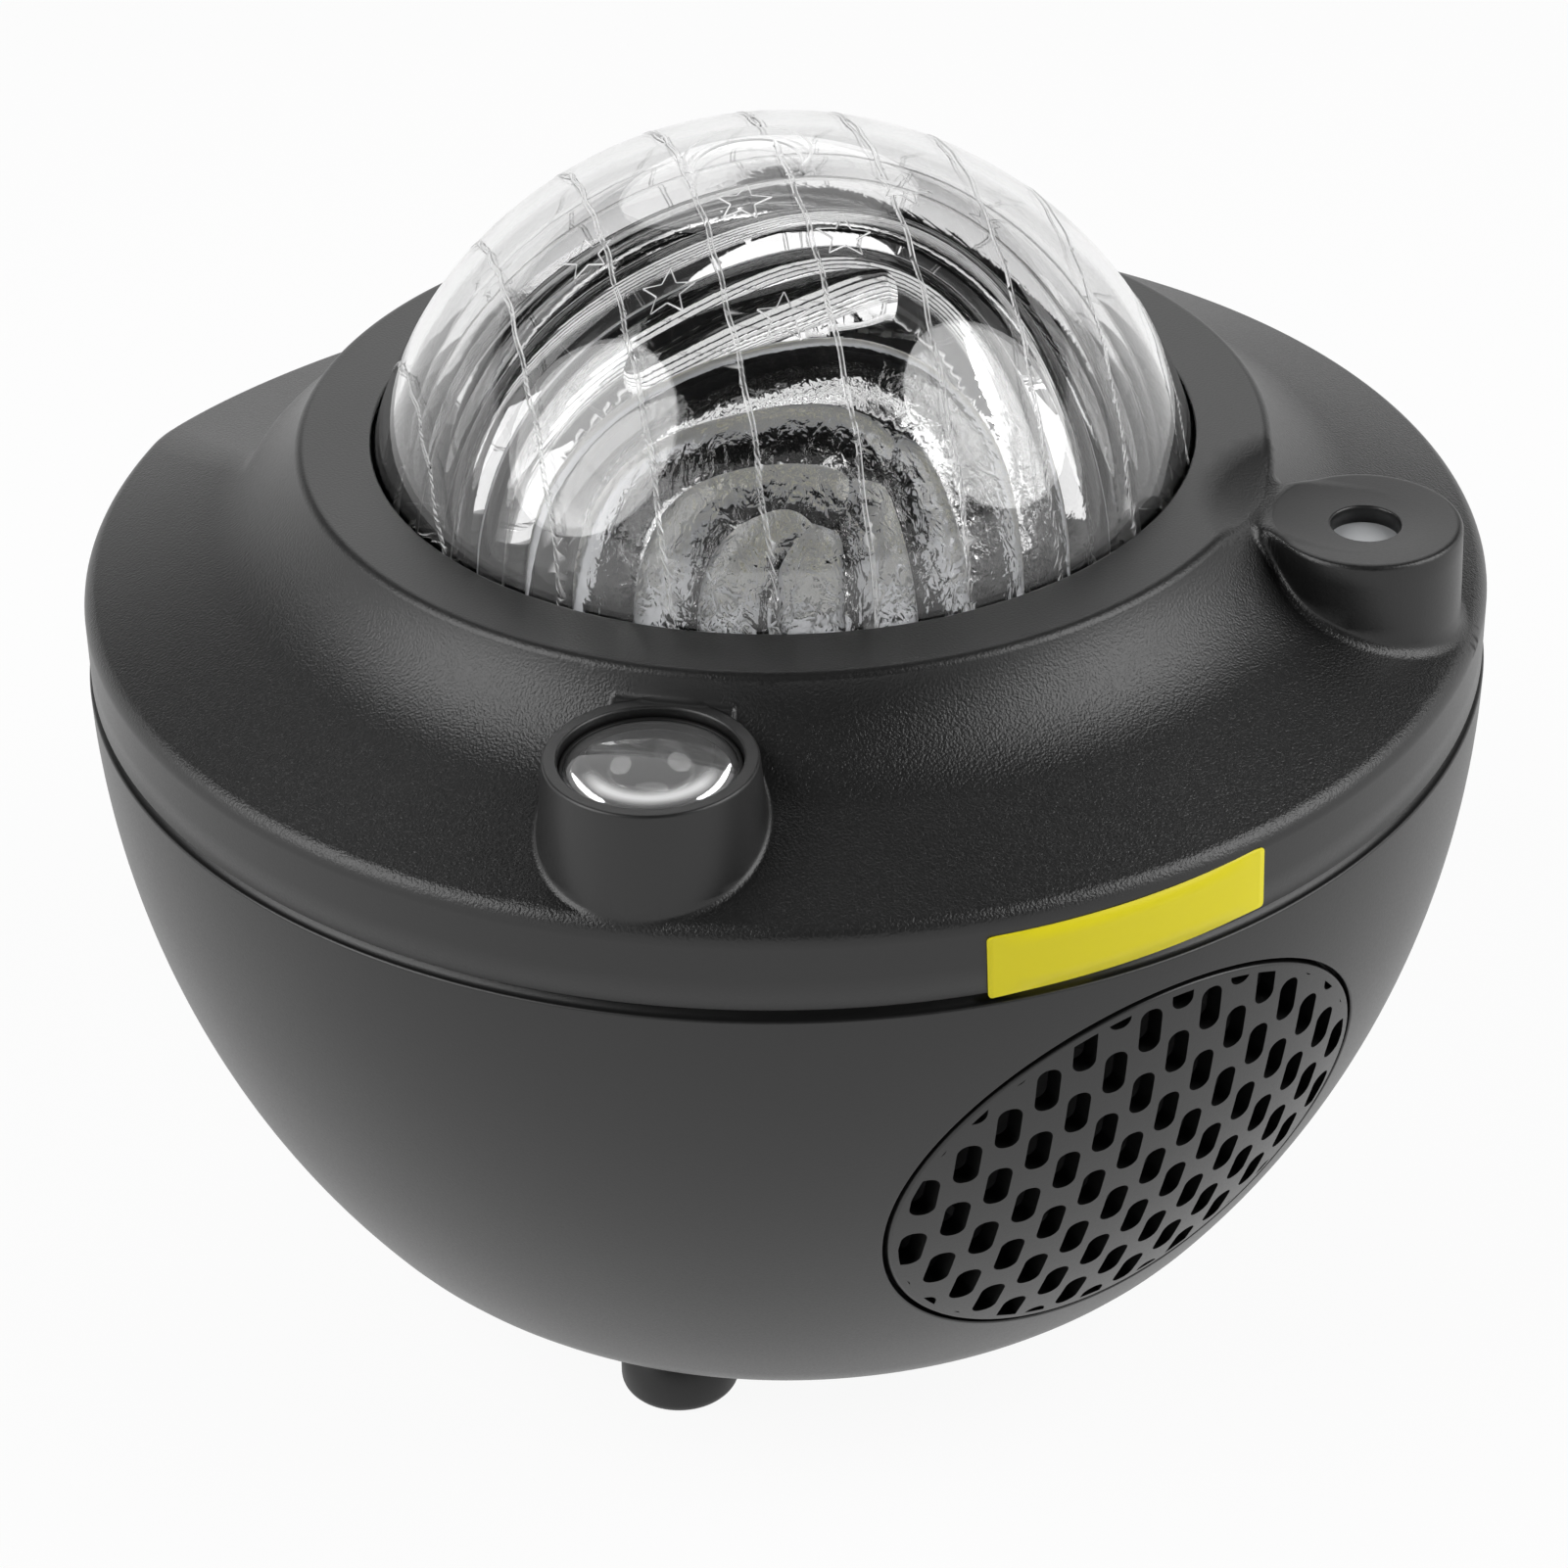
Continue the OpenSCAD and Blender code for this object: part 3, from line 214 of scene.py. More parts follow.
def clearPlastic(name, paintedHighlight=0.0, rough=0.012, wrinkles=None):
    # painted highlight: a white layer lies over it as far as the piece's own "edge" says, and stands in for
    # the light that the thin walls of raised lines catch;
    # fine wrinkles lie round one place, which is given in metres
    f = Finish(name, Transmission_Weight=1.0, IOR=1.49)
    f.set("Roughness", f.noise(14) * 0.02 + rough)
    f.set("Base Color", f.mix(f.noise(50), gray(1.0), gray(0.985)))
    if paintedHighlight:
        white = f.node("ShaderNodeBsdfPrincipled", None, {"Base Color": gray(0.9), "Roughness": 0.35})
        f.over(f.share("edge") * paintedHighlight, white)
    if wrinkles:
        middle, reach, size, depth = wrinkles
        away = f.node("ShaderNodeVectorMath", {"operation": "DISTANCE"}, {0: f.place, 1: middle}, "Value")
        near = 1 - away.above(reach * mm, reach * mm * 0.7)
        place = f.node("ShaderNodeMapping", None, {"Vector": f.place, "Scale": (1, 1, 0.55)})
        f.bump(f.noise(size, distortion=1.2, place=place) * near, depth)
    return f.material


def metal(name, color, rough, grain, depth, stretch=(1, 1, 1)):
    f = Finish(name, Metallic=1.0)
    place = f.node("ShaderNodeMapping", None, {"Vector": f.place, "Scale": stretch})
    lines = f.noise(grain, detail=3, place=place)
    f.set("Base Color", f.mix(lines, color, scaled(color, 0.82)))
    f.set("Roughness", rough + (lines - 0.5) * 0.2)
    f.bump(lines, depth)
    return f.material


def boardPlastic(name, color, trace):
    # circuit board: solder mask over traces that run in straight lines
    f = Finish(name)
    place = f.node("ShaderNodeMapping", None, {"Vector": f.place, "Rotation": (0, 0, 0.785)})
    cells = f.node("ShaderNodeTexBrick", {"offset": 0.5}, {
        "Vector": place, "Color1": gray(0.2), "Color2": gray(0.9), "Mortar": gray(1.0),
        "Scale": 1.0, "Mortar Size": 0.00035, "Brick Width": 0.006, "Row Height": 0.0022})
    lines = f.node("ShaderNodeSeparateColor", None, {"Color": cells}).above(0.95, 0.05)
    f.set("Base Color", f.mix(lines, color, trace))
    f.set("Roughness", 0.34 + f.noise(3) * 0.12)
    f.bump(lines, 0.03)
    return f.material


def roundLed(name, centre):
    # white base with a clear, slightly yellow dome
    f = Finish(name, Coat_Weight=0.6)
    f.set("Base Color", f.mix(f.noise(1.2), centre, (0.9, 0.9, 0.86, 1)))
    f.set("Roughness", 0.25 + f.noise(0.6) * 0.1)
    f.bump(f.noise(0.8), 0.02)
    return f.material


def filmPlastic(name, dark, light, size):
    f = Finish(name, Transmission_Weight=0.4)
    spots = f.node("ShaderNodeTexVoronoi", None, {"Vector": f.place, "Scale": 1 / (size * mm)})
    f.set("Base Color", f.mix(spots.above(0.3, 0.25), light, dark))
    f.set("Roughness", 0.2 + f.noise(2) * 0.1)
    return f.material


finishes = {
    "black_housing": mouldedPlastic("blackHousing", gray(0.006), 0.38, 0.3, 0.09, level=0.6, grained=True),
    "clear_plastic": clearPlastic("clearPlastic"),
    "black_inner_plastic": mouldedPlastic("blackInnerPlastic", gray(0.006), 0.5, 0.4, 0.008, level=0.25),
    "white_plastic": mouldedPlastic("whitePlastic", (0.62, 0.62, 0.6, 1), 0.4, 0.5, 0.004),
    "screw_steel": metal("screwSteel", (0.56, 0.56, 0.58, 1), 0.32, 0.5, 0.004),
    "motor_can": metal("motorCan", (0.6, 0.61, 0.62, 1), 0.3, 0.4, 0.003, (1, 1, 6)),
    "heat_sink_metal": metal("heatSinkMetal", (0.66, 0.67, 0.69, 1), 0.4, 0.3, 0.006, (6, 1, 1)),
    "white_board": boardPlastic("whiteBoard", (0.62, 0.62, 0.6, 1), (0.5, 0.5, 0.48, 1)),
    "green_board": boardPlastic("greenBoard", (0.02, 0.11, 0.035, 1), (0.04, 0.2, 0.06, 1)),
    "led_lens": roundLed("ledLens", (0.82, 0.78, 0.55, 1)),
    "picture_film": filmPlastic("pictureFilm", (0.01, 0.02, 0.12, 1), (0.25, 0.45, 0.85, 1), 2.2),
    "frosted_window": mouldedPlastic("frostedWindow", (0.42, 0.43, 0.44, 1), 0.3, 0.15, 0.01),
    "laser_brass": metal("laserBrass", (0.7, 0.5, 0.2, 1), 0.28, 0.5, 0.003, (1, 1, 5)),
    "grating_film": filmPlastic("gratingFilm", (0.3, 0.42, 0.55, 1), (0.6, 0.7, 0.8, 1), 0.5),
    "rubber": mouldedPlastic("rubber", gray(0.011), 0.5, 0.3, 0.01),
    "speaker_steel": metal("speakerSteel", (0.2, 0.2, 0.21, 1), 0.4, 0.4, 0.004),
    "speaker_paper": mouldedPlastic("speakerPaper", gray(0.016), 0.75, 0.5, 0.05),
    "foam": mouldedPlastic("foam", gray(0.02), 0.9, 0.6, 0.12),
    "yellow_film": mouldedPlastic("yellowFilm", (0.95, 0.83, 0.012, 1), 0.42, 2.5, 0.004,
                                  (0.98, 0.87, 0.02, 1), level=0.35),
    "chip_plastic": mouldedPlastic("chipPlastic", gray(0.012), 0.5, 0.3, 0.01),
    "capacitor_sleeve": mouldedPlastic("capacitorSleeve", (0.02, 0.03, 0.1, 1), 0.3, 0.8, 0.003),
    "socket_plastic": mouldedPlastic("socketPlastic", (0.7, 0.66, 0.55, 1), 0.4, 0.5, 0.004),
    "button_plastic": mouldedPlastic("buttonPlastic", gray(0.02), 0.38, 0.2, 0.004),
}
slotOf = {p["node"]: p["material_slot"] for p in frame["record"]["subparts"]}
for nodeName, nodeObject in frame["nodes"].items():
    nodeObject.data.materials.clear()
    nodeObject.data.materials.append(finishes[slotOf[nodeName]])
print("finishes done", len(finishes))


# mesh helpers
def newMesh(name, verts, faces):
    # verts in millimetres
    mesh = bpy.data.meshes.new(name)
    faces = [tuple(int(i) for i in f) for f in faces]
    mesh.from_pydata([tuple(v) for v in np.asarray(verts) * mm], [], faces)
    bm = bmesh.new()
    bm.from_mesh(mesh)
    bmesh.ops.recalc_face_normals(bm, faces=bm.faces)
    bm.to_mesh(mesh)
    bm.free()
    return mesh


def addShare(mesh, key, values):
    mesh.attributes.new(key, "FLOAT", "POINT").data.foreach_set("value", np.asarray(values, np.float32))


def makeObject(name, verts, faces, finish, normals=None, body="housing", stands=(), shares=None, look=None,
               crease=None):
    # normals is one vector for each vertex, or zero where the faces give it
    mesh = newMesh(name, verts, faces)
    mesh.shade_smooth()
    for key, values in (shares or {}).items():
        addShare(mesh, key, values)
    if crease:
        mesh.set_sharp_from_angle(angle=math.radians(crease))
    if normals is not None:
        mesh.normals_split_custom_set_from_vertices([tuple(n) for n in normals])
    mesh.materials.append(look or finishes[finish])
    obj = addObject(name, mesh)
    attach(obj, body)
    if stands:
        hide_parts(*stands)
    return obj


def cornerPlaces(mesh):
    # the place of each face corner, in millimetres
    loops = np.zeros(len(mesh.loops), np.int32)
    mesh.loops.foreach_get("vertex_index", loops)
    places = np.zeros(len(mesh.vertices) * 3)
    mesh.vertices.foreach_get("co", places)
    return (places.reshape(-1, 3) / mm)[loops]


def setNormals(mesh, normals):
    size = np.linalg.norm(normals, axis=1, keepdims=True)
    mesh.normals_split_custom_set([tuple(n) for n in normals / np.maximum(size, 1e-9)])


def ballNormals(obj, count, radius, outside):
    # each outer face's corners get the surface's own normal, taken a little inside the face, so that
    # creases stay sharp; the inner faces are part of a ball
    places = cornerPlaces(obj.data)
    normals = np.zeros((len(places), 3))
    corners = planOnBall(places[:3 * count] - domeCentre, radius).reshape(count, 3, 2)
    inwards, step = 0.12, 0.02
    spots = (corners + inwards * (corners.mean(1, keepdims=True) - corners)).reshape(-1, 2)
    here = outside(spots)[0]
    normals[:3 * count] = np.cross(outside(spots + (step, 0))[0] - here, outside(spots + (0, step))[0] - here)
    normals[-3 * count:] = domeCentre - places[-3 * count:]
    setNormals(obj.data, normals)


def reachOf(points):
    # distance from the axis
    return np.hypot(points[:, 0], points[:, 1])


def circle(centre, radius, count, squash=1.0):
    a = np.linspace(0, 2 * np.pi, count, endpoint=False)
    return np.stack([centre[0] + radius * np.cos(a), centre[1] + radius * squash * np.sin(a)], 1)


def rowAt(points, z):
    return np.column_stack([points, np.full(len(points), z)])


def arcPoints(cx, cz, r, start, end, steps):
    a = np.radians(np.linspace(start, end, steps + 1))
    return [(cx + r * math.cos(t), cz + r * math.sin(t)) for t in a]


def insideLoop(points, loop):
    # even-odd test of many points against one closed outline
    x, y = points[:, :1], points[:, 1:]
    x1, y1 = loop[:, 0][None], loop[:, 1][None]
    x2, y2 = np.roll(loop[:, 0], -1)[None], np.roll(loop[:, 1], -1)[None]
    crosses = (y1 > y) != (y2 > y)
    with np.errstate(divide="ignore", invalid="ignore"):
        at = x1 + (y - y1) / (y2 - y1) * (x2 - x1)
    return (np.sum(crosses & (x < at), 1) % 2) == 1


def planTriangles(loops, extra):
    # triangles of the flat region inside the first loop and outside the others
    points = np.concatenate(loops + [extra])
    rings, start = [], 0
    for loop in loops:
        rings.append(list(range(start, start + len(loop))))
        start += len(loop)
    edges = [(a, b) for ring in rings for a, b in zip(ring, ring[1:] + ring[:1])]
    made = delaunay_2d_cdt([Vector(p) for p in points], edges, [], 1, 1e-5)
    verts, tris = np.array([tuple(v) for v in made[0]]), np.array(made[2])
    middle = verts[tris].mean(1)
    keep = np.ones(len(tris), bool)
    for loop in loops[1:]:
        keep &= ~insideLoop(middle, loop)
    number = {old: new for new, olds in enumerate(made[3]) for old in olds}
    return verts, tris[keep], [[number[i] for i in ring] for ring in rings]


def shell(loops, extra, outside, inside, skirts):
    # closed wall over a flat region: outside and inside turn plan points into surface points, and each
    # loop's skirt is a list of rows of points that join the outside to the inside
    plan, tris, rings = planTriangles(loops, extra)
    used = np.unique(tris)
    number = -np.ones(len(plan), int)
    number[used] = np.arange(len(used))
    plan, tris = plan[used], number[tris]
    rings = [[number[i] for i in ring] for ring in rings]
    outer, normals = outside(plan)
    free = np.setdiff1d(np.arange(len(plan)), np.concatenate(rings))
    verts, faces = [outer, inside(plan[free], outer[free], normals[free])], [tuple(t) for t in tris]
    innerNumber = np.zeros(len(plan), int)
    innerNumber[free] = len(outer) + np.arange(len(free))
    count = len(outer) + len(free)
    for ring, rows in zip(rings, skirts):
        above, n = list(ring), len(ring)
        for row in rows:
            below = [count + i for i in range(n)]
            verts.append(np.asarray(row))
            count += n
            faces += [(above[i], above[(i + 1) % n], below[(i + 1) % n], below[i]) for i in range(n)]
            above = below
        innerNumber[ring] = above
    faces += [tuple(innerNumber[i] for i in reversed(t)) for t in tris]
    verts = np.concatenate(verts)
    allNormals = np.zeros((len(verts), 3))
    allNormals[:len(outer)] = normals
    return verts, faces, allNormals


def lathe(name, outline, finish, centre=(0, 0), segments=72, follow=None, **where):
    # closed outline of (radius, height) points spun about a vertical axis
    verts, faces, rows = [], [], []
    for r, z in outline:
        ring = circle(centre, r, segments) if r >= 1e-6 else [centre]
        rows.append(list(range(len(verts), len(verts) + len(ring))))
        verts += [(p[0], p[1], z) for p in ring]
    pairs = list(zip(rows, rows[1:]))
    if len(rows[0]) > 1:
        pairs.append((rows[-1], rows[0]))
    for a, b in pairs:
        for i in range(segments):
            j = (i + 1) % segments
            face = [a[i % len(a)], a[j % len(a)], b[j % len(b)], b[i % len(b)]]
            face = [v for k, v in enumerate(face) if v != face[k - 1]]
            if len(face) > 2:
                faces.append(face)
    verts = np.array(verts)
    return makeObject(name, follow(verts) if follow else verts, faces, finish, **where)


# cover: a height over the plan, found as the zero of one rounded solid
cover = {
    "distance": 70.0, "bridgeDrop": 0.15, "bridgeDraft": 3, "bridgeReach": 1.3, "bridgeEndEdge": 0.5,
    "lensAngle": -132.0, "lensRadius": 11.6, "lensDraft": 5.5, "lensTop": 109.2, "lensEdge": 0.3,
    "lensFillet": 0.6, "lensBridge": 13.2, "lensBridgeEdge": 0.2, "lensBlend": 0.25,
    "padAngle": -48.0, "padRadius": 11.1, "padDraft": 2.0, "padTop": 110.0, "padEdge": 0.9,
    "padFillet": 1.2, "padBridge": 12.2, "padBridgeEdge": 1.2, "padBlend": 2.2,
    "boreRadius": 9.95, "boreLow": 103.0, "dishDepth": 0.8, "dishRadius": 9.6, "dishEdge": 0.5,
    "windowRadius": 4.0, "windowLow": 107.25,
    "shelfSlope": 15.5, "shelfSpan": 35.0, "shelfRadius": 66.0, "shelfEdge": 0.7, "shelfDraft": 4,
    "shelfFillet": 0.8, "buttonDistance": 74.0, "buttonPitch": 12.0, "buttonCount": 4, "buttonRadius": 3.6,
    "buttonGap": 0.2, "coverLow": 86.6, "skirtEdge": 0.25, "skirtWall": 0.8, "grooveTop": 88.3, "lip": 0.3,
    # the wall turns inwards near the band, and the opening is straight above its cone
    "wallFrom": 72, "wallSpan": 10, "openingEdge": 0.45,
    # where the grain is full: lean of the surface, and distances past the bosses
    "grainLean": 0.35, "lensCalm": 12.2, "padCalm": 10.5, "calmSpan": 1.2, "collarGrain": 0.25,
}
slope, sweep, lipEdge = housing["slope"], housing["sweepRadius"], housing["collarEdge"]
sa, ca = sinOf(slope), cosOf(slope)
cornerX, cornerZ = band - housing["collarRadius"], collarTop - bandTop
cornerU, cornerV = cornerX * ca + cornerZ * sa, cornerZ * ca - cornerX * sa
sweepU = cornerU - math.sqrt(sweep ** 2 - (sweep - cornerV) ** 2)
sweepX = band - sweepU * ca + sweep * sa
sweepZ = bandTop + sweepU * sa + sweep * ca
lipZ = collarTop - lipEdge
lipX = sweepX - math.sqrt((sweep + lipEdge) ** 2 - (sweepZ - lipZ) ** 2)
lipAngle = math.atan2(sweepZ - lipZ, sweepX - lipX)
lensAt = polar(cover["lensAngle"], cover["distance"])
laserAt = polar(cover["padAngle"], cover["distance"])
shelfY = band * cosOf(cover["shelfSpan"])
shelfTan = tanOf(cover["shelfSlope"])
shelfZ = bandTop - housing["bandEdge"] * tanOf(45 - slope / 2) - (cover["buttonDistance"] - shelfY) * shelfTan


def roundUnion(a, b, k):
    return np.maximum(k, np.minimum(a, b)) - np.hypot(np.maximum(k - a, 0), np.maximum(k - b, 0))


def roundCut(a, b, k):
    return np.minimum(-k, np.maximum(a, b)) + np.hypot(np.maximum(k + a, 0), np.maximum(k + b, 0))


def coverProfile(r):
    # height and steepness of the turned outline, without the band's rounded edge
    z = bandTop + (band - r) * tanOf(slope)
    steep = np.full_like(r, -tanOf(slope))
    sweepTop = lipX + lipEdge * math.cos(lipAngle)
    inSweep = (r < sweepX - sweep * sa) & (r >= sweepTop)
    inLip = (r < sweepTop) & (r > lipX)
    arcs = (inSweep, sweepX, sweepZ, sweep, -1), (inLip, lipX, lipZ, lipEdge, 1)
    for here, middleX, middleZ, size, side in arcs:
        root = np.sqrt(np.maximum(size ** 2 - (r - middleX) ** 2, 1e-9))
        z = np.where(here, middleZ + side * root, z)
        steep = np.where(here, side * (middleX - r) / root, steep)
    flat = r <= lipX
    return np.where(flat, collarTop, z), np.where(flat, 0.0, steep)


def bossFrame(x, y, angle):
    # distance outwards past the boss's centre and sideways from the line to the axis
    c, s = cosOf(angle), sinOf(angle)
    return x * c + y * s - cover["distance"], y * c - x * s


def coverSolid(x, y, z):
    c, r = cover, np.hypot(x, y)
    height, steep = coverProfile(r)
    plane = (z - shelfZ + (y - c["buttonDistance"]) * shelfTan) * cosOf(c["shelfSlope"])
    inner = (r - c["shelfRadius"] + (z - shelfZ) * tanOf(c["shelfDraft"]))
    shelf = roundUnion(plane, inner, c["shelfFillet"])
    body = roundCut((z - height) / np.sqrt(1 + steep ** 2), shelf, c["shelfEdge"])
    # the lens boss and the laser pad, each with its bridge to the collar
    for key in ("lens", "pad"):
        draft, top = c[key + "Draft"], c[key + "Top"]
        out, side = bossFrame(x, y, c[key + "Angle"])
        rho = np.hypot(out, side)
        boss = (rho - c[key + "Radius"]) * cosOf(draft) + (z - top) * sinOf(draft)
        boss = roundCut(boss, z - top, c[key + "Edge"])
        drop = z - (top - c["bridgeDrop"])
        bridge = np.abs(side) - c[key + "Bridge"] / 2 + drop * tanOf(c["bridgeDraft"])
        ends = np.maximum(out, -out - c["bridgeReach"] * (c["distance"] - housing["collarRadius"]))
        bridge = roundCut(roundCut(bridge, drop, c[key + "BridgeEdge"]), ends, c["bridgeEndEdge"])
        body = roundUnion(body, roundUnion(boss, bridge, c[key + "Blend"]), c[key + "Fillet"])
    ball = (c["dishRadius"] ** 2 + c["dishDepth"] ** 2) / (2 * c["dishDepth"])
    dish = ball - np.sqrt(rho ** 2 + (z - c["padTop"] + c["dishDepth"] - ball) ** 2)
    return roundCut(roundCut(body, dish, c["dishEdge"]), r - band, housing["bandEdge"])


def coverOutside(plan):
    x, y = plan[:, 0], plan[:, 1]
    low, high, halvings = np.full(len(plan), seamZ - 4.0), np.full(len(plan), collarTop + 2.0), 34
    for _ in range(halvings):
        middle = (low + high) / 2
        solid = coverSolid(x, y, middle) < 0
        low, high = np.where(solid, middle, low), np.where(solid, high, middle)
    z, d = (low + high) / 2, 2e-3
    slopes = [coverSolid(x + d * (k == 0), y + d * (k == 1), z + d * (k == 2))
              - coverSolid(x - d * (k == 0), y - d * (k == 1), z - d * (k == 2)) for k in range(3)]
    normal = np.stack(slopes, 1)
    return np.stack([x, y, z], 1), normal / np.linalg.norm(normal, axis=1, keepdims=True)


def coverInside(plan, outer, normal):
    # one wall lower, and one wall further in near the band
    r = reachOf(outer)
    scale = (r - wall * np.clip((r - cover["wallFrom"]) / cover["wallSpan"], 0, 1)) / r
    return np.stack([outer[:, 0] * scale, outer[:, 1] * scale, outer[:, 2] - wall], 1)


def buttonPlace(i):
    # plan place of a button on the shelf, and its height
    y, x = polar((i - (cover["buttonCount"] - 1) / 2) * cover["buttonPitch"], cover["buttonDistance"])
    return x, y, shelfZ + (cover["buttonDistance"] - y) * shelfTan


def onShelf(i, local):
    # points given in a button's own frame, where z is out of the shelf
    x, y, z = buttonPlace(i)
    c, s = cosOf(cover["shelfSlope"]), sinOf(cover["shelfSlope"])
    local = np.asarray(local)
    return np.stack([x + local[:, 0], y + local[:, 1] * c + local[:, 2] * s,
                     z - local[:, 1] * s + local[:, 2] * c], 1)


def lipTurns(lip):
    # growth and depth of a hole's rounded lip
    return [(lip * (1 - sinOf(t)), lip * (1 - cosOf(t))) for t in (30, 60, 90)]


def lipRows(centre, radius, top, low, count, lip, lower=()):
    # rows of a hole's wall: a rounded lip, then straight down
    rows = [(radius + grow, top - depth) for grow, depth in lipTurns(lip)] + [(radius, low), *lower]
    return [rowAt(circle(centre, r, count), z) for r, z in rows]


# spacing of the points that the cover's surface stands on
coverNet = {
    "ring": 300, "bore": 132, "window": 72, "button": 48,
    # where the rings round the axis make way: bosses, collar, the band's edge and the shelf's inner wall
    "lensClear": 14.5, "padClear": 15.5, "collarClear": 58, "edgeClear": 1.7, "shelfClear": 1.8,
    "shelfTurn": 56.5,
    # rings round each boss: its centre, first ring, start and end of its wall, last ring and points in each
    "bosses": ((lensAt, cover["boreRadius"] + 0.65, 11.1, 13.5, 17.0, 200),
               (laserAt, 4.9, 9.4, 12.6, 19.0, 132)),
    "coarse": 0.4, "fine": 0.09, "ownRing": 12.3,
    # start, end and step: along and across a bridge's wall, round and across the shelf's, across its ends
    "along": (53.4, 60.8, 0.16), "across": (-0.9, 2.5, 0.1), "wallClear": 1.75, "wallSpan": (-16.5, -8),
    "shelfAngles": (34, 146.1, 1.0), "shelfWall": (-1.3, 1.9, 0.12), "shelfEnd": (-2.4, 2.5, 0.3),
}


def coverPoints(c, net, holes):
    # rings round the axis: close together where the outline turns quickly
    radii = [housing["openRadius"] + 0.8, 50.6, 52.5, 54.5]
    radii += [lipX + lipEdge * math.sin(t) for t in np.linspace(0, math.pi / 2 - lipAngle, 9)]
    radii += [sweepX - sweep * math.sin(t)
              for t in np.linspace(math.pi / 2 - lipAngle, math.radians(slope), 28)[1:]]
    radii += list(np.linspace(radii[-1], band - 2.0, 9)[1:])
    radii += [band - housing["bandEdge"] * (1 - math.sin(t)) for t in np.linspace(0, 1.45, 9)]
    points = np.concatenate([circle((0, 0), r, net["ring"]) for r in radii])
    r = reachOf(points)
    clear = (reachOf(points - lensAt) > net["lensClear"]) & (reachOf(points - laserAt) > net["padClear"])
    points = points[clear | (r > band - net["edgeClear"]) | (r < net["collarClear"])]
    around = np.degrees(np.arctan2(points[:, 1], points[:, 0]))
    offWall = np.abs(reachOf(points) - c["shelfRadius"] - 0.3) > net["shelfClear"]
    extra = [points[(np.abs(around - 90) > net["shelfTurn"]) | offWall]]
    # rings round the bosses: closest on their walls, and off the band's rounded edge
    for centre, first, wallStart, wallEnd, end, count in net["bosses"]:
        rhos = [*np.arange(first, wallStart, net["coarse"]), *np.arange(wallStart, wallEnd, net["fine"])]
        rhos += list(wallEnd + (end - wallEnd) * np.linspace(0, 1, 12) ** 1.3)
        for rho in rhos:
            ring = circle(centre, rho, count)
            extra.append(ring[(rho < wallEnd + 0.5) | (reachOf(ring) < band - 1.9)])
    # the bridges' side walls, where the lens boss's other points make way
    extra = np.concatenate(extra)
    out, side = bossFrame(extra[:, 0], extra[:, 1], c["lensAngle"])
    onWall = np.abs(np.abs(side) - c["lensBridge"] / 2 - 0.8) < net["wallClear"]
    onWall &= (np.hypot(out, side) > net["ownRing"]) & (out > net["wallSpan"][0]) & (out < net["wallSpan"][1])
    extra = [extra[~onWall]]
    for key in ("lens", "pad"):
        ways = np.array(polar(c[key + "Angle"], 1.0))
        along, across = np.meshgrid(np.arange(*net["along"]), np.arange(*net["across"]))
        for sign in (-1, 1):
            x, side = along.ravel(), sign * (c[key + "Bridge"] / 2 + across.ravel())
            clear = np.hypot(c["distance"] - x, side) > net["ownRing"]
            spots = np.column_stack([x * ways[0] - side * ways[1], x * ways[1] + side * ways[0]])
            extra.append(spots[clear])
    # the shelf's inner wall, its two ends and its buttons
    a = np.radians(np.arange(*net["shelfAngles"]))
    for off in np.arange(*net["shelfWall"]):
        extra.append((c["shelfRadius"] + off) * np.column_stack([np.cos(a), np.sin(a)]))
    rr = np.linspace(c["shelfRadius"], band - 0.6, 36)
    yy = c["buttonDistance"] + (shelfZ - coverProfile(rr)[0]) / shelfTan
    for off in np.arange(*net["shelfEnd"]):
        y = np.clip(yy + off, 0, rr * 0.999)
        x = np.sqrt(rr ** 2 - y ** 2)
        extra += [np.column_stack([x, y]), np.column_stack([-x, y])]
    for at, radius, squash in holes[3:]:
        extra += [circle(at, radius + off, net["button"], squash) for off in (0.7, 1.2)]
    extra = np.concatenate(extra)
    r = reachOf(extra)
    keep = (r < band - 0.02) & (r > housing["openRadius"] + c["lip"] + 0.1)
    for (x, y), radius, squash in holes[1:]:
        keep &= np.hypot(extra[:, 0] - x, (extra[:, 1] - y) / squash) > radius + c["lip"] + 0.1
    return extra[keep]


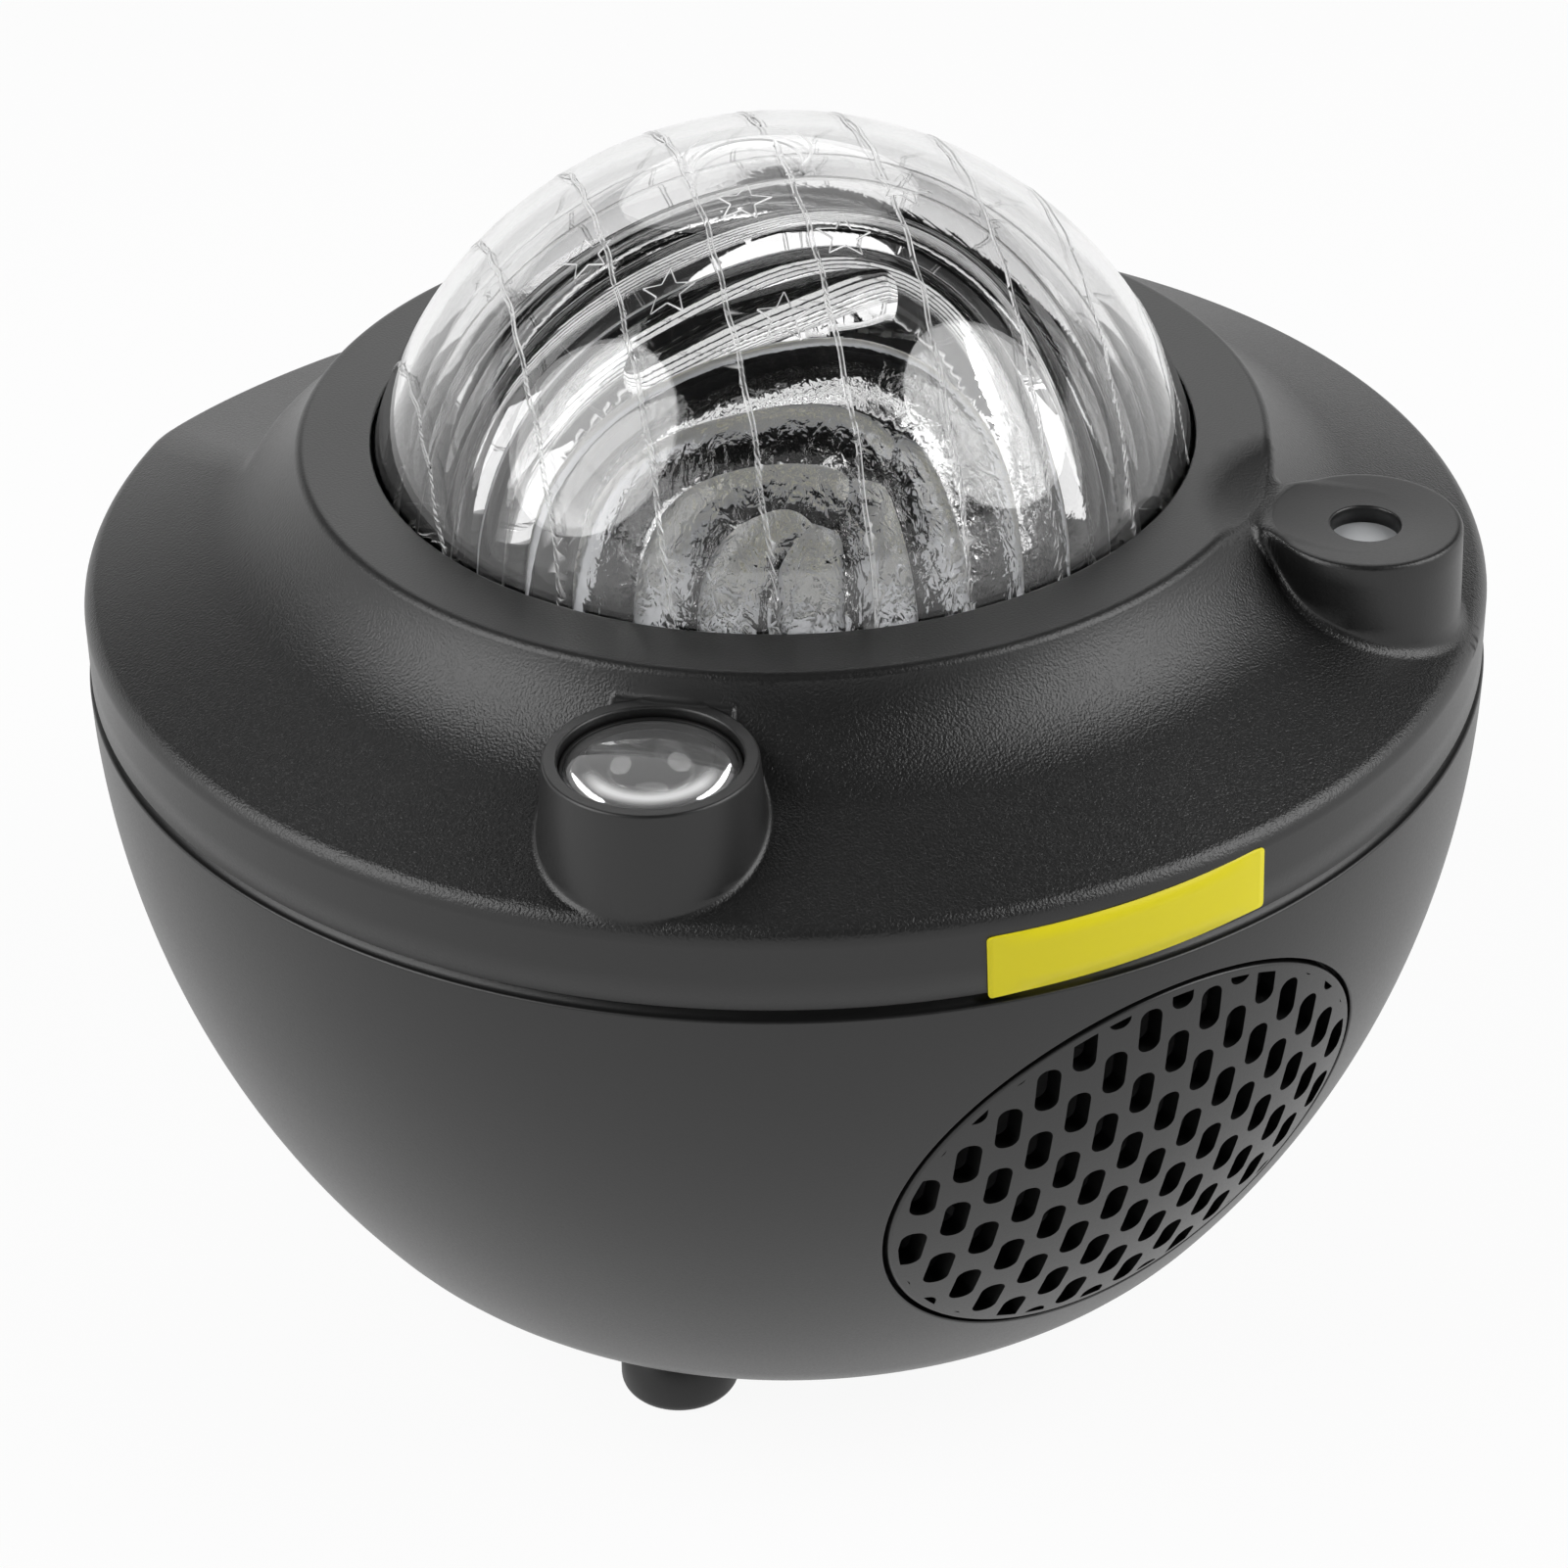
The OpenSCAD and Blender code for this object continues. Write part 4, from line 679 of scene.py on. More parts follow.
def makeCover(c, net):
    lip, opening, holeRadius = c["lip"], housing["openRadius"], c["buttonRadius"] + c["buttonGap"]
    ringCount, boreCount = net["ring"], net["bore"]
    windowCount, buttonCount = net["window"], net["button"]
    # centre, radius and squash of each hole: the dome's, the lens's, the laser's and the buttons'
    holes = [((0, 0), opening, 1), (lensAt, c["boreRadius"], 1), (laserAt, c["windowRadius"], 1)]
    holes += [(buttonPlace(i)[:2], holeRadius, cosOf(c["shelfSlope"])) for i in range(c["buttonCount"])]
    counts = [ringCount, boreCount, windowCount] + [buttonCount] * c["buttonCount"]
    loops = [circle(at, radius + lip, count, squash) for (at, radius, squash), count in zip(holes, counts)]
    rim = circle((0, 0), band - 0.003, ringCount)
    extra = coverPoints(c, net, holes)
    # the skirt under the band, then the walls of the holes
    low, groove, edge = c["coverLow"], c["grooveTop"], coverOutside(rim)[0][:, 2]
    unit = circle((0, 0), 1.0, ringCount)
    rows = [np.column_stack([unit * band, low + (edge - low) * share - drop])
            for share, drop in ((1.0, 0.12), (0.5, 0), (0.0, -c["skirtEdge"]))]
    turn, inner = band - c["skirtEdge"], band - c["skirtWall"]
    below = (turn, low), (inner, low), (inner, groove), (band - wall, groove + 0.2)
    rows += [rowAt(unit * r, z) for r, z in below]
    rows.append(np.column_stack([unit * (band - wall), edge - wall + 0.4]))
    lower = [(math.sqrt(domeCut ** 2 - (z - domeZ) ** 2), z) for z in (111.0, collarTop - wall)]
    windowTop = coverOutside(loops[2])[0][:, 2].mean()
    skirts = [rows, lipRows((0, 0), opening, collarTop, collarTop - c["openingEdge"], ringCount, lip, lower),
              lipRows(lensAt, c["boreRadius"], c["lensTop"], c["boreLow"], boreCount, lip),
              lipRows(laserAt, c["windowRadius"], windowTop, c["windowLow"], windowCount, lip)]
    for i in range(c["buttonCount"]):
        rows = [(holeRadius + grow, -depth) for grow, depth in lipTurns(lip)] + [(holeRadius, -wall)]
        skirts.append([onShelf(i, rowAt(circle((0, 0), r, buttonCount), z)) for r, z in rows])
    verts, faces, normals = shell([rim, *loops], extra, coverOutside, coverInside, skirts)
    # the sweep and the slope have the coarser grain; the bosses' walls and the band are finer
    steep = np.clip((normals[:, 2] - c["grainLean"]) / 0.3, 0, 1)
    lensFar, laserFar = (reachOf(verts[:, :2] - at) for at in (lensAt, laserAt))
    calm = np.clip(np.minimum(lensFar - c["lensCalm"], laserFar - c["padCalm"]) / c["calmSpan"], 0, 1)
    collarFar = np.clip((reachOf(verts) - lipX) / 2, c["collarGrain"], 1)
    return makeObject("housing_cover", verts, faces, "black_housing", normals, stands=["top_cover"],
                      shares={"grain": steep * calm * collarFar})


makeCover(cover, coverNet)
print("cover done")

# bowl: a turned outline with an oval opening for the grille and a hole for the plug
bowl = {
    "sideRadius": 116.0, "heelRadius": 25.2, "top": 85.4, "edge": 0.3, "lip": 0.3,
    "tongueTop": 88.2, "tongueInside": 81.6, "tongueOutside": 82.8, "tongueLow": 83.0,
    # x, height, half width and half height of each hole
    "grilleHole": (0.7, 53.3, 31.3, 28.2), "jackHole": (0, 31.1, 5.6, 5.6),
}
side, heel = bowl["sideRadius"], bowl["heelRadius"]
grilleHole, jackHole = bowl["grilleHole"], bowl["jackHole"]
sideX = housing["rimRadius"] - side
heelZ = housing["footHeight"] + heel
heelX = math.sqrt((side - heel) ** 2 - (seamZ - heelZ) ** 2) + sideX
heelAngle = math.asin((seamZ - heelZ) / (side - heel))
topAngle = math.asin((seamZ - bowl["top"] + bowl["edge"]) / side)
heelEnd = heelX + heel * (math.pi / 2 - heelAngle)
bowlEnd = heelEnd + side * (heelAngle - topAngle)


def bowlRadius(z, depth=0.0):
    return np.sqrt((side - depth) ** 2 - (seamZ - z) ** 2) + sideX


def bowlOutside(plan):
    s, around = reachOf(plan), np.arctan2(plan[:, 1], plan[:, 0])
    onSide, flat = s > heelEnd, s <= heelX
    heelTurn = np.clip((s - heelX) / heel, 0, math.pi / 2 - heelAngle)
    lean = np.where(onSide, heelAngle - (s - heelEnd) / side, math.pi / 2 - heelTurn)
    size = np.where(onSide, side, heel)
    r = np.where(flat, s, np.where(onSide, sideX, heelX) + size * np.cos(lean))
    z = np.where(flat, housing["footHeight"], np.where(onSide, seamZ, heelZ) - size * np.sin(lean))
    out, down = np.where(flat, 0, np.cos(lean)), np.where(flat, -1, -np.sin(lean))
    c, t = np.cos(around), np.sin(around)
    return np.stack([r * c, r * t, z], 1), np.stack([out * c, out * t, down], 1)


def bowlInside(plan, outer, normal):
    return outer - normal * wall


def oval(hole, grow, count):
    # x and z of a hole's outline
    x, z, width, height = hole
    a = np.linspace(0, 2 * np.pi, count, endpoint=False)
    return x + (width + grow) * np.cos(a), z + (height + grow) * np.sin(a)


def holePlan(x, z, front):
    # plan points of an outline at the front or the back, at their way along the bowl from its middle
    around = np.arccos(np.clip(x / bowlRadius(z), -1, 1)) * (-1 if front else 1)
    reach = heelEnd + side * (heelAngle - np.arcsin((seamZ - z) / side))
    return np.column_stack([reach * np.cos(around), reach * np.sin(around)])


def holeRow(x, z, front, depth):
    # a row of a hole's wall, which runs along Y
    return np.column_stack([x, np.sqrt(bowlRadius(z, depth) ** 2 - x ** 2) * (-1 if front else 1), z])


def makeBowl(c):
    rimCount, counts = 360, (200, 56)
    holes = [(c["grilleHole"], counts[0], True), (c["jackHole"], counts[1], False)]
    loops = [holePlan(*oval(hole, c["lip"], count), front) for hole, count, front in holes]
    reaches = list(np.linspace(8, heelX, 5)) + list(np.linspace(heelX, heelEnd, 15)[1:])
    reaches += list(np.linspace(heelEnd, bowlEnd - 0.6, 36)[1:])
    rings = np.concatenate([circle((0, 0), r, 120 if r <= heelX else 240) for r in reaches] + [[(0.0, 0.0)]])
    nearFront = insideLoop(rings, holePlan(*oval(grilleHole, 3.0, 90), True))
    nearBack = insideLoop(rings, holePlan(*oval(jackHole, 1.6, 40), False))
    extra = [rings[~nearFront & ~nearBack]]
    extra += [holePlan(*oval(grilleHole, grow, counts[0]), True) for grow in (0.8, 1.8)]
    extra.append(holePlan(*oval(jackHole, 1.0, counts[1]), False))
    edge, top, high = c["edge"], c["top"], c["tongueTop"]
    outer, inner = c["tongueOutside"], c["tongueInside"]
    rim = [(housing["rimRadius"] - edge * (1 - math.cos(t)), top - edge + edge * math.sin(t))
           for t in (0.5, 1.0, math.pi / 2)]
    rim += [(outer, top), (outer, high - 0.2), (outer - 0.2, high), (inner + 0.2, high), (inner, high - 0.2),
            (inner, c["tongueLow"])]
    unit = circle((0, 0), 1.0, rimCount)
    skirts = [[rowAt(unit * r, z) for r, z in rim]]
    for hole, count, front in holes:
        rows = [(grow, depth) for grow, depth in lipTurns(c["lip"])] + [(0, wall)]
        skirts.append([holeRow(*oval(hole, grow, count), front, depth) for grow, depth in rows])
    extra = np.concatenate(extra)
    verts, faces, normals = shell([unit * bowlEnd, *loops], extra, bowlOutside, bowlInside, skirts)
    return makeObject("housing_bowl", verts, faces, "black_housing", normals, stands=["bottom_bowl"])


makeBowl(bowl)
print("bowl done")

# grille: a panel that fills the oval, with slots in shifted columns
grille = {
    "gap": 0.5, "edge": 0.3, "lipReach": 2.5, "lipLow": 3.6, "slotWidth": 2.8, "slotHeight": 5.9,
    "slotCorner": 1.25, "pitchX": 4.0, "pitchZ": 9.2, "columns": 17, "rows": 9, "spread": 1.1, "rim": 1.5,
    "inset": 3.2, "net": 1.7, "slotNear": 55.0, "slotFar": 92.0, "crease": 30.0,
}


def grilleTree(c, sizes):
    tree = bpy.data.node_groups.new("grilleSlots", "GeometryNodeTree")
    tree.interface.new_socket(name="Geometry", in_out="OUTPUT", socket_type="NodeSocketGeometry")
    tree.interface.new_socket(name="Panel", in_out="INPUT", socket_type="NodeSocketGeometry")
    for key in sizes:
        tree.interface.new_socket(name=key, in_out="INPUT", socket_type="NodeSocketFloat")
    given = tree.nodes.new("NodeGroupInput").outputs

    def node(kind, sockets, **settings):
        made = tree.nodes.new(kind)
        for key, value in settings.items():
            setattr(made, key, value)
        for key, value in sockets.items():
            for one in (value if isinstance(value, list) else [value]):
                if isinstance(one, bpy.types.NodeSocket):
                    tree.links.new(one, made.inputs[key])
                else:
                    made.inputs[key].default_value = one
        return made.outputs[0]

    def geometry(kind, **sockets):
        return node("GeometryNode" + kind, {key.replace("_", " "): value for key, value in sockets.items()})

    def calc(operation, *values):
        return node("ShaderNodeMath", dict(enumerate(values)), operation=operation)

    def prism(curve):
        base = geometry("FillCurve", Curve=curve)
        grown = node("GeometryNodeExtrudeMesh", {
            "Mesh": base, "Offset": (0, 0, (c["slotFar"] - c["slotNear"]) * mm), "Offset Scale": 1.0,
            "Individual": False})
        both = geometry("JoinGeometry", Geometry=[grown, geometry("FlipFaces", Mesh=base)])
        return geometry("MergeByDistance", Geometry=both, Distance=1e-6)

    # a net of places, every second column shifted by half a pitch
    net = geometry("MeshGrid", Size_X=calc("MULTIPLY", given["pitchX"], c["columns"] - 1.0),
                   Size_Y=calc("MULTIPLY", given["pitchZ"], c["rows"] - 1.0),
                   Vertices_X=c["columns"], Vertices_Y=c["rows"])
    place = node("ShaderNodeSeparateXYZ", {0: geometry("InputPosition")}).node.outputs
    column = calc("ROUND", calc("DIVIDE", place[0], given["pitchX"]))
    odd = calc("MODULO", calc("ABSOLUTE", column), 2.0)
    shift = node("ShaderNodeCombineXYZ", {1: calc("MULTIPLY", calc("MULTIPLY", odd, given["pitchZ"]), 0.5)})
    net = geometry("SetPosition", Geometry=net, Offset=shift)
    x, z, width, height = grilleHole
    reach = calc("ADD", calc("POWER", calc("DIVIDE", place[0], width * mm), 2.0),
                 calc("POWER", calc("DIVIDE", place[1], height * mm), 2.0))
    net = geometry("DeleteGeometry", Geometry=net, Selection=calc("GREATER_THAN", reach, given["spread"]))
    slot = geometry("CurvePrimitiveQuadrilateral", Width=given["slotWidth"], Height=given["slotHeight"])
    slot = node("GeometryNodeFilletCurve", {"Curve": slot, "Count": 6, "Radius": given["slotCorner"]},
                mode="POLY")
    slots = geometry("InstanceOnPoints", Points=net, Instance=prism(slot))
    slots = geometry("RealizeInstances", Geometry=slots)
    edge = geometry("CurvePrimitiveCircle", Resolution=144, Radius=1.0)
    size = ((width - c["rim"]) * mm, (height - c["rim"]) * mm, 1.0)
    edge = prism(geometry("Transform", Geometry=edge, Scale=size))
    edge = geometry("Transform", Geometry=edge, Translation=(0, 0, 0.001), Scale=(1, 1, 0.93))
    cut = node("GeometryNodeMeshBoolean", {"Mesh 2": [slots, edge]}, operation="INTERSECT", solver="EXACT")
    cut = geometry("Transform", Geometry=cut, Translation=(x * mm, -c["slotNear"] * mm, z * mm),
                   Rotation=(math.pi / 2, 0, 0))
    panel = node("GeometryNodeMeshBoolean", {"Mesh 1": given["Panel"], "Mesh 2": cut},
                 operation="DIFFERENCE", solver="EXACT")
    panel = geometry("RealizeInstances", Geometry=panel)
    panel = geometry("SetMaterial", Geometry=panel, Material=finishes["black_housing"])
    tree.links.new(panel, tree.nodes.new("NodeGroupOutput").inputs[0])
    return tree


def makeGrille(c):
    x, z, width, height = grilleHole
    count, sizes = 200, ("slotWidth", "slotHeight", "slotCorner", "pitchX", "pitchZ", "spread")
    rows = [(-c["gap"] - c["edge"] * (1 - math.sin(t)), c["edge"] * (1 - math.cos(t)))
            for t in (math.pi / 6, math.pi / 3, math.pi / 2)]
    rows += [(-c["gap"], wall), (c["lipReach"], wall + 0.02), (c["lipReach"], c["lipLow"]),
             (-c["lipReach"], c["lipLow"]), (-c["lipReach"], wall)]
    rows = [holeRow(*oval(grilleHole, grow, count), True, depth) for grow, depth in rows]
    net = np.meshgrid(*(np.arange(-reach, reach, c["net"]) for reach in (width, height)))
    right, up = (v.ravel() for v in net)
    free = (right / (width - c["inset"])) ** 2 + (up / (height - c["inset"])) ** 2 < 1
    verts, faces, _ = shell([holePlan(*oval(grilleHole, -c["gap"] - c["edge"], count), True)],
                            holePlan(x + right[free], z + up[free], True), bowlOutside, bowlInside, [rows])
    panel = addObject("grillePanel", newMesh("grillePanel", verts, faces))
    modifier = panel.modifiers.new("slots", "NODES")
    modifier.node_group = grilleTree(c, sizes)
    for item in modifier.node_group.interface.items_tree:
        if item.in_out == "INPUT" and item.name in sizes:
            modifier[item.identifier] = c[item.name] * (1 if item.name == "spread" else mm)
    made = bpy.data.meshes.new_from_object(panel.evaluated_get(bpy.context.evaluated_depsgraph_get()))
    bpy.data.objects.remove(panel)
    bm = bmesh.new()
    bm.from_mesh(made)
    bmesh.ops.remove_doubles(bm, verts=bm.verts, dist=1e-6)
    bmesh.ops.dissolve_degenerate(bm, edges=bm.edges, dist=1e-6)
    bmesh.ops.triangulate(bm, faces=bm.faces)
    verts = np.array([tuple(v.co) for v in bm.verts]) / mm
    faces = [[v.index for v in f.verts] for f in bm.faces]
    print("grille open edges", sum(not e.is_manifold for e in bm.edges), "faces", len(faces))
    bm.free()
    made = makeObject("slotted_grille", verts, faces, "black_housing", stands=["speaker_grille"],
                      crease=c["crease"], shares={"grain": np.zeros(len(verts))}).data
    # the front faces follow the bowl
    places = cornerPlaces(made)
    r = reachOf(places)
    out = np.column_stack([places[:, :2] / r[:, None] * (r - sideX)[:, None], places[:, 2] - seamZ])
    size = np.linalg.norm(out, axis=1)
    faceNormals = np.repeat(np.array([p.normal for p in made.polygons]), 3, axis=0)
    onFront = (np.abs(size - side) < 0.02) & ((faceNormals * out).sum(1) > 0.98 * size)
    setNormals(made, out * onFront[:, None])


makeGrille(grille)
print("grille done")

# clear dome with raised lines, stars and a moon, and its flange
clearDome = {
    # paintedEdgeHighlight is how strongly the white layer of painted highlight lies on the walls of the
    # raised lines, stars and moon
    "relief": 0.08, "paintedEdgeHighlight": 0.75, "ribPitch": 10.95, "ribTurn": -18.0, "ribHalfWidth": 0.3,
    "ribWave": 0.12, "ribWaveLength": 8.0, "ribStep": 0.8, "net": 2.2, "starRadius": 3.3, "starWaist": 0.44,
    "starEdge": 0.13, "starTurn": 60.0, "moonTilt": 4.0, "moonAngle": 145.0, "moonRadius": 7.3,
    "moonBite": 6.3, "moonShift": 3.4,
    # tilt from the top and angle round the dome of each star: six at the front, then four at the back
    "stars": ((13.1, -140.5), (17.3, -53.0), (20.3, -95.9), (29.9, -149.4), (31.8, -119.3), (29.8, -179.1),
              (47.0, 10.0), (54.0, 48.0), (46.0, 84.0), (56.0, 122.0)),
}


def domePlan(tilt, angle):
    return np.array(polar(angle, dome["radius"] * math.radians(tilt)))


def ballWays(plan, radius):
    # directions from the ball's centre for plan points at their distance along the ball from its top
    tilt, around = reachOf(plan) / radius, np.arctan2(plan[:, 1], plan[:, 0])
    return tilt, np.stack([np.sin(tilt) * np.cos(around), np.sin(tilt) * np.sin(around), np.cos(tilt)], 1)


def planOnBall(ways, radius):
    # plan points for ways from the ball's centre
    reach = reachOf(ways)
    return ways[:, :2] / np.maximum(reach, 1e-9)[:, None] * (np.arctan2(reach, ways[:, 2]) * radius)[:, None]


def lineDistance(points, line):
    # distance of each point to an open line of points
    best = np.full(len(points), np.inf)
    for a, b in zip(line, line[1:]):
        t = np.clip((points - a) @ (b - a) / ((b - a) @ (b - a)), 0, 1)
        best = np.minimum(best, np.linalg.norm(points - a - t[:, None] * (b - a), axis=1))
    return best


def ribWave(along, number, c):
    wave = np.sin(2 * np.pi * along / c["ribWaveLength"] + number * 1.7)
    return c["ribWave"] * (wave + 0.6 * np.sin(2 * np.pi * along / (2.7 * c["ribWaveLength"]) + number))


def starOutline(centre, turn, c):
    # ten corners, the first one given again at the end
    a = np.radians(turn + np.arange(11) * 36)
    r = np.where(np.arange(11) % 2 == 0, c["starRadius"], c["starRadius"] * c["starWaist"])
    return centre + np.stack([r * np.cos(a), r * np.sin(a)], 1)


def plateau(distance, edge, height):
    # full height inside an outline and none outside, over a narrow soft edge
    t = np.clip(0.5 - distance / (2 * edge), 0, 1)
    return height * t * t * (3 - 2 * t)


def domeRelief(plan, c, stars, moon):
    # height of the lines, stars and moon over the ball
    cr, sr = cosOf(c["ribTurn"]), sinOf(c["ribTurn"])
    x, y = (ballWays(plan, dome["radius"])[1] * dome["radius"])[:, :2].T
    across, along = x * cr + y * sr, y * cr - x * sr
    number = np.round(across / c["ribPitch"])
    off = across - number * c["ribPitch"] - ribWave(along, number, c)
    # a line on the side of the ball is as wide as one on top
    lean = np.sqrt(np.maximum(1 - (across / dome["radius"]) ** 2, 0.05))
    height = c["relief"] * np.sqrt(np.clip(1 - (off / lean / c["ribHalfWidth"]) ** 2, 0, 1))
    for star in stars:
        near = np.linalg.norm(plan - star[:10].mean(0), axis=1) < c["starRadius"] + 1
        if near.any():
            away = lineDistance(plan[near], star) * np.where(insideLoop(plan[near], star[:10]), -1, 1)
            height[near] = np.maximum(height[near], plateau(away, c["starEdge"], c["relief"]))
    outer = np.linalg.norm(plan - moon[0], axis=1) - c["moonRadius"]
    inner = c["moonBite"] - np.linalg.norm(plan - moon[1], axis=1)
    return np.maximum(height, plateau(np.maximum(outer, inner), 2 * c["starEdge"], c["relief"]))


def domePoints(c, stars, moon, lastTilt):
    # plan points: an even field, rows across each line, and rows along the stars' and the moon's edges
    radius, net = dome["radius"], c["net"]
    points = [circle((0, 0), r, max(12, int(2 * math.pi * r / net)))
              for r in np.arange(1.5, radius * lastTilt, net)]
    cr, sr = cosOf(c["ribTurn"]), sinOf(c["ribTurn"])
    row = np.array([-1.12, -1.0, -0.85, -0.45, 0, 0.45, 0.85, 1.0, 1.12]) * c["ribHalfWidth"]
    for k in range(-4, 5):
        lean = math.sqrt(1 - (k * c["ribPitch"] / radius) ** 2)
        half = radius * lean - 0.3
        for along in np.arange(-half, half, c["ribStep"]):
            across = k * c["ribPitch"] + ribWave(along, k, c) + row * lean
            x, y = across * cr - along * sr, across * sr + along * cr
            r = np.hypot(x, y)
            ok = r < radius * math.sin(lastTilt) - 0.2
            scale = np.arcsin(np.clip(r[ok] / radius, 0, 1)) * radius / r[ok]
            points.append(np.column_stack([x, y])[ok] * scale[:, None])
    for star in stars:
        for a, b in zip(star, star[1:]):
            way = (b - a) / np.linalg.norm(b - a)
            side = np.array([-way[1], way[0]])
            for t in np.linspace(0.03, 0.97, 12):
                points.append(np.array([a + (b - a) * t + side * off * c["starEdge"] for off in (-1, 0, 1)]))
    for centre, r in ((moon[0], c["moonRadius"]), (moon[1], c["moonBite"])):
        points += [circle(centre, r + off * c["starEdge"], 160) for off in (-2, -0.7, 0.7, 2)]
    points = np.concatenate(points)
    return points[reachOf(points) < radius * lastTilt - 0.25]


def makeDome(name, radius, innerRadius, lastTilt, innerTilt, reachAt, points, rows, count, **where):
    # half a ball with a wall: reachAt gives the outer distance from the centre, and rows its foot
    def outside(plan):
        tilt, ways = ballWays(plan, radius)
        fade = np.clip((lastTilt - tilt) * radius / 1.5, 0, 1)
        return ways * reachAt(plan, ways, fade)[:, None] + domeCentre, np.zeros_like(ways)

    def inside(plan, outer, normal):
        return ballWays(plan * innerTilt / lastTilt, radius)[1] * innerRadius + domeCentre

    unit = circle((0, 0), 1.0, count)
    verts, faces, _ = shell([circle((0, 0), radius * lastTilt, count)], points, outside, inside,
                            [[rowAt(unit * r, z) for r, z in rows]])
    shares = where.pop("sharesOf", lambda verts: None)(verts)
    made = makeObject(name, verts, faces, "clear_plastic", shares=shares, **where)
    ballNormals(made, (len(faces) - count * len(rows)) // 2, radius, outside)
    return made


def makeClearDome(c):
    radius, innerRadius, flange = dome["radius"], dome["radius"] - dome["wall"], dome["flangeRadius"]
    top = collarTop - wall
    low = top - dome["flangeThickness"]
    lastTilt, innerTilt = math.acos((top - domeZ) / radius), math.acos((low - domeZ) / innerRadius)
    stars = [starOutline(domePlan(*place), c["starTurn"] + (i * 23) % 17 - 8, c)
             for i, place in enumerate(c["stars"])]
    moonAt = domePlan(c["moonTilt"], c["moonAngle"])
    moon = (moonAt, moonAt + np.array(polar(c["starTurn"] - 180, c["moonShift"])))
    hole = innerRadius * math.sin(innerTilt)
    rows = [(radius * math.sin(lastTilt) + 0.3, top), (flange - 0.2, top), (flange, top - 0.2),
            (flange, low + 0.2), (flange - 0.2, low), (hole + 0.3, low), (hole, low)]

    def reachAt(plan, ways, fade):
        return radius + domeRelief(plan, c, stars, moon) * fade

    # painted highlight: the walls of the raised lines, stars and moon get the white layer
    def paintedHighlightShare(verts):
        share = (np.linalg.norm(verts - domeCentre, axis=1) - radius) / c["relief"]
        return {"edge": np.where(verts[:, 2] > top + 0.5, np.clip(4 * share * (1 - share), 0, 1), 0)}

    points, look = domePoints(c, stars, moon, lastTilt), clearPlastic("linedPlastic", c["paintedEdgeHighlight"])
    return makeDome("clear_dome", radius, innerRadius, lastTilt, innerTilt, reachAt, points, rows, 360,
                    stands=["outer_dome"], look=look, sharesOf=paintedHighlightShare)


makeClearDome(clearDome)
print("clear dome done")

# ripple dome: rounded lobes with sharp creases between them, which curl into a hook at the front
rippleDome = {
    "radius": 47.0, "height": 3.0, "innerRadius": 43.2, "pitch": 7.4, "sharpness": 0.6, "poleTilt": 55.6,
    "poleAngle": -110.4, "archRight": -9.5, "archUp": -10.0, "firstArch": 34.8, "bulge": 7.5,
    "bulgeTurn": 60.0, "bulgeSpan": 28.0, "low": 103.1, "ringLow": 101.6, "ringTop": 103.6,
    "ringInside": 41.7, "ringOutside": 45.6, "step": 0.56, "wrinkleTilt": 76.0, "wrinkleReach": 27.0,
    "wrinkleSize": 1.7, "wrinkleDepth": 0.36,
    # lobes in the curl: points to the right of the pole and up from it
    "lobes": (
        ((-37, -26), (-36.5, -10), (-33, 2), (-25, 10), (-15, 14), (-4, 15.6), (5, 14.8), (12, 10.5),
         (16.5, 3), (18, -8), (18.3, -26)),
        ((-20, 19.5), (-11, 22.5), (-2, 24.5), (5, 26), (9, 26.5)),
        ((-30.5, -26), (-29.5, -10), (-27.5, -2), (-23.5, 3.8), (-17.8, 6.6), (-11, 7.4), (-4, 7.6),
         (1, 6.6), (4, 4)),
        ((-22.4, -26), (-21.6, -12), (-19.5, -5), (-16, -0.4), (-11.3, 1.7), (-5.8, 1.6), (-1.6, 0.3)),
        ((-14.4, -26), (-14, -13), (-12.6, -7.6), (-9.8, -4.2), (-6.8, -2.5)),
        ((-4.8, -26), (-4.8, -14), (-4.2, -5.4)),
        ((4.4, -26), (4.2, -13), (3.4, -5), (2.6, -0.6)),
        ((11.2, -26), (10.9, -12.5), (9.2, -3), (7.2, 2.6)),
    ),
}


def smoothLine(points, steps=5):
    # soft curve through a few points
    p = np.array([points[0], *points, points[-1]], float)
    t = np.linspace(0, 1, steps, endpoint=False)[:, None]
    made = [0.5 * (2 * b + (c - a) * t + (2 * a - 5 * b + 4 * c - d) * t ** 2
                   + (3 * b - a - 3 * c + d) * t ** 3) for a, b, c, d in zip(p, p[1:], p[2:], p[3:])]
    return np.concatenate(made + [p[-1:]])


def poleFrame(c):
    # way from the ball's centre to the pole, and the ways to the right and up there
    out = Vector((*polar(c["poleAngle"], sinOf(c["poleTilt"])), cosOf(c["poleTilt"])))
    right = Vector((*polar(c["poleAngle"] + 90, 1.0), 0))
    return np.array(out), np.array(right), np.array(out.cross(right))


def aroundPole(ways, c):
    # distance along the ball from the pole, to the right and up
    out, right, up = poleFrame(c)
    angle = np.arccos(np.clip(ways @ out, -1, 1))
    x, y = ways @ right, ways @ up
    size = np.maximum(np.hypot(x, y), 1e-9)
    return np.stack([x / size, y / size], 1) * (angle * c["radius"])[:, None]


def ballPlan(spots, c):
    # plan points of places given to the right of the pole and up from it
    out, right, up = poleFrame(c)
    size = np.maximum(reachOf(spots), 1e-9)[:, None]
    turn = size / c["radius"]
    ways = np.cos(turn) * out + np.sin(turn) * (spots / size @ np.array([right, up]))
    tilt = np.arccos(np.clip(ways[:, 2], -1, 1)) * c["radius"]
    return ways[:, :2] / np.maximum(reachOf(ways), 1e-9)[:, None] * tilt[:, None]


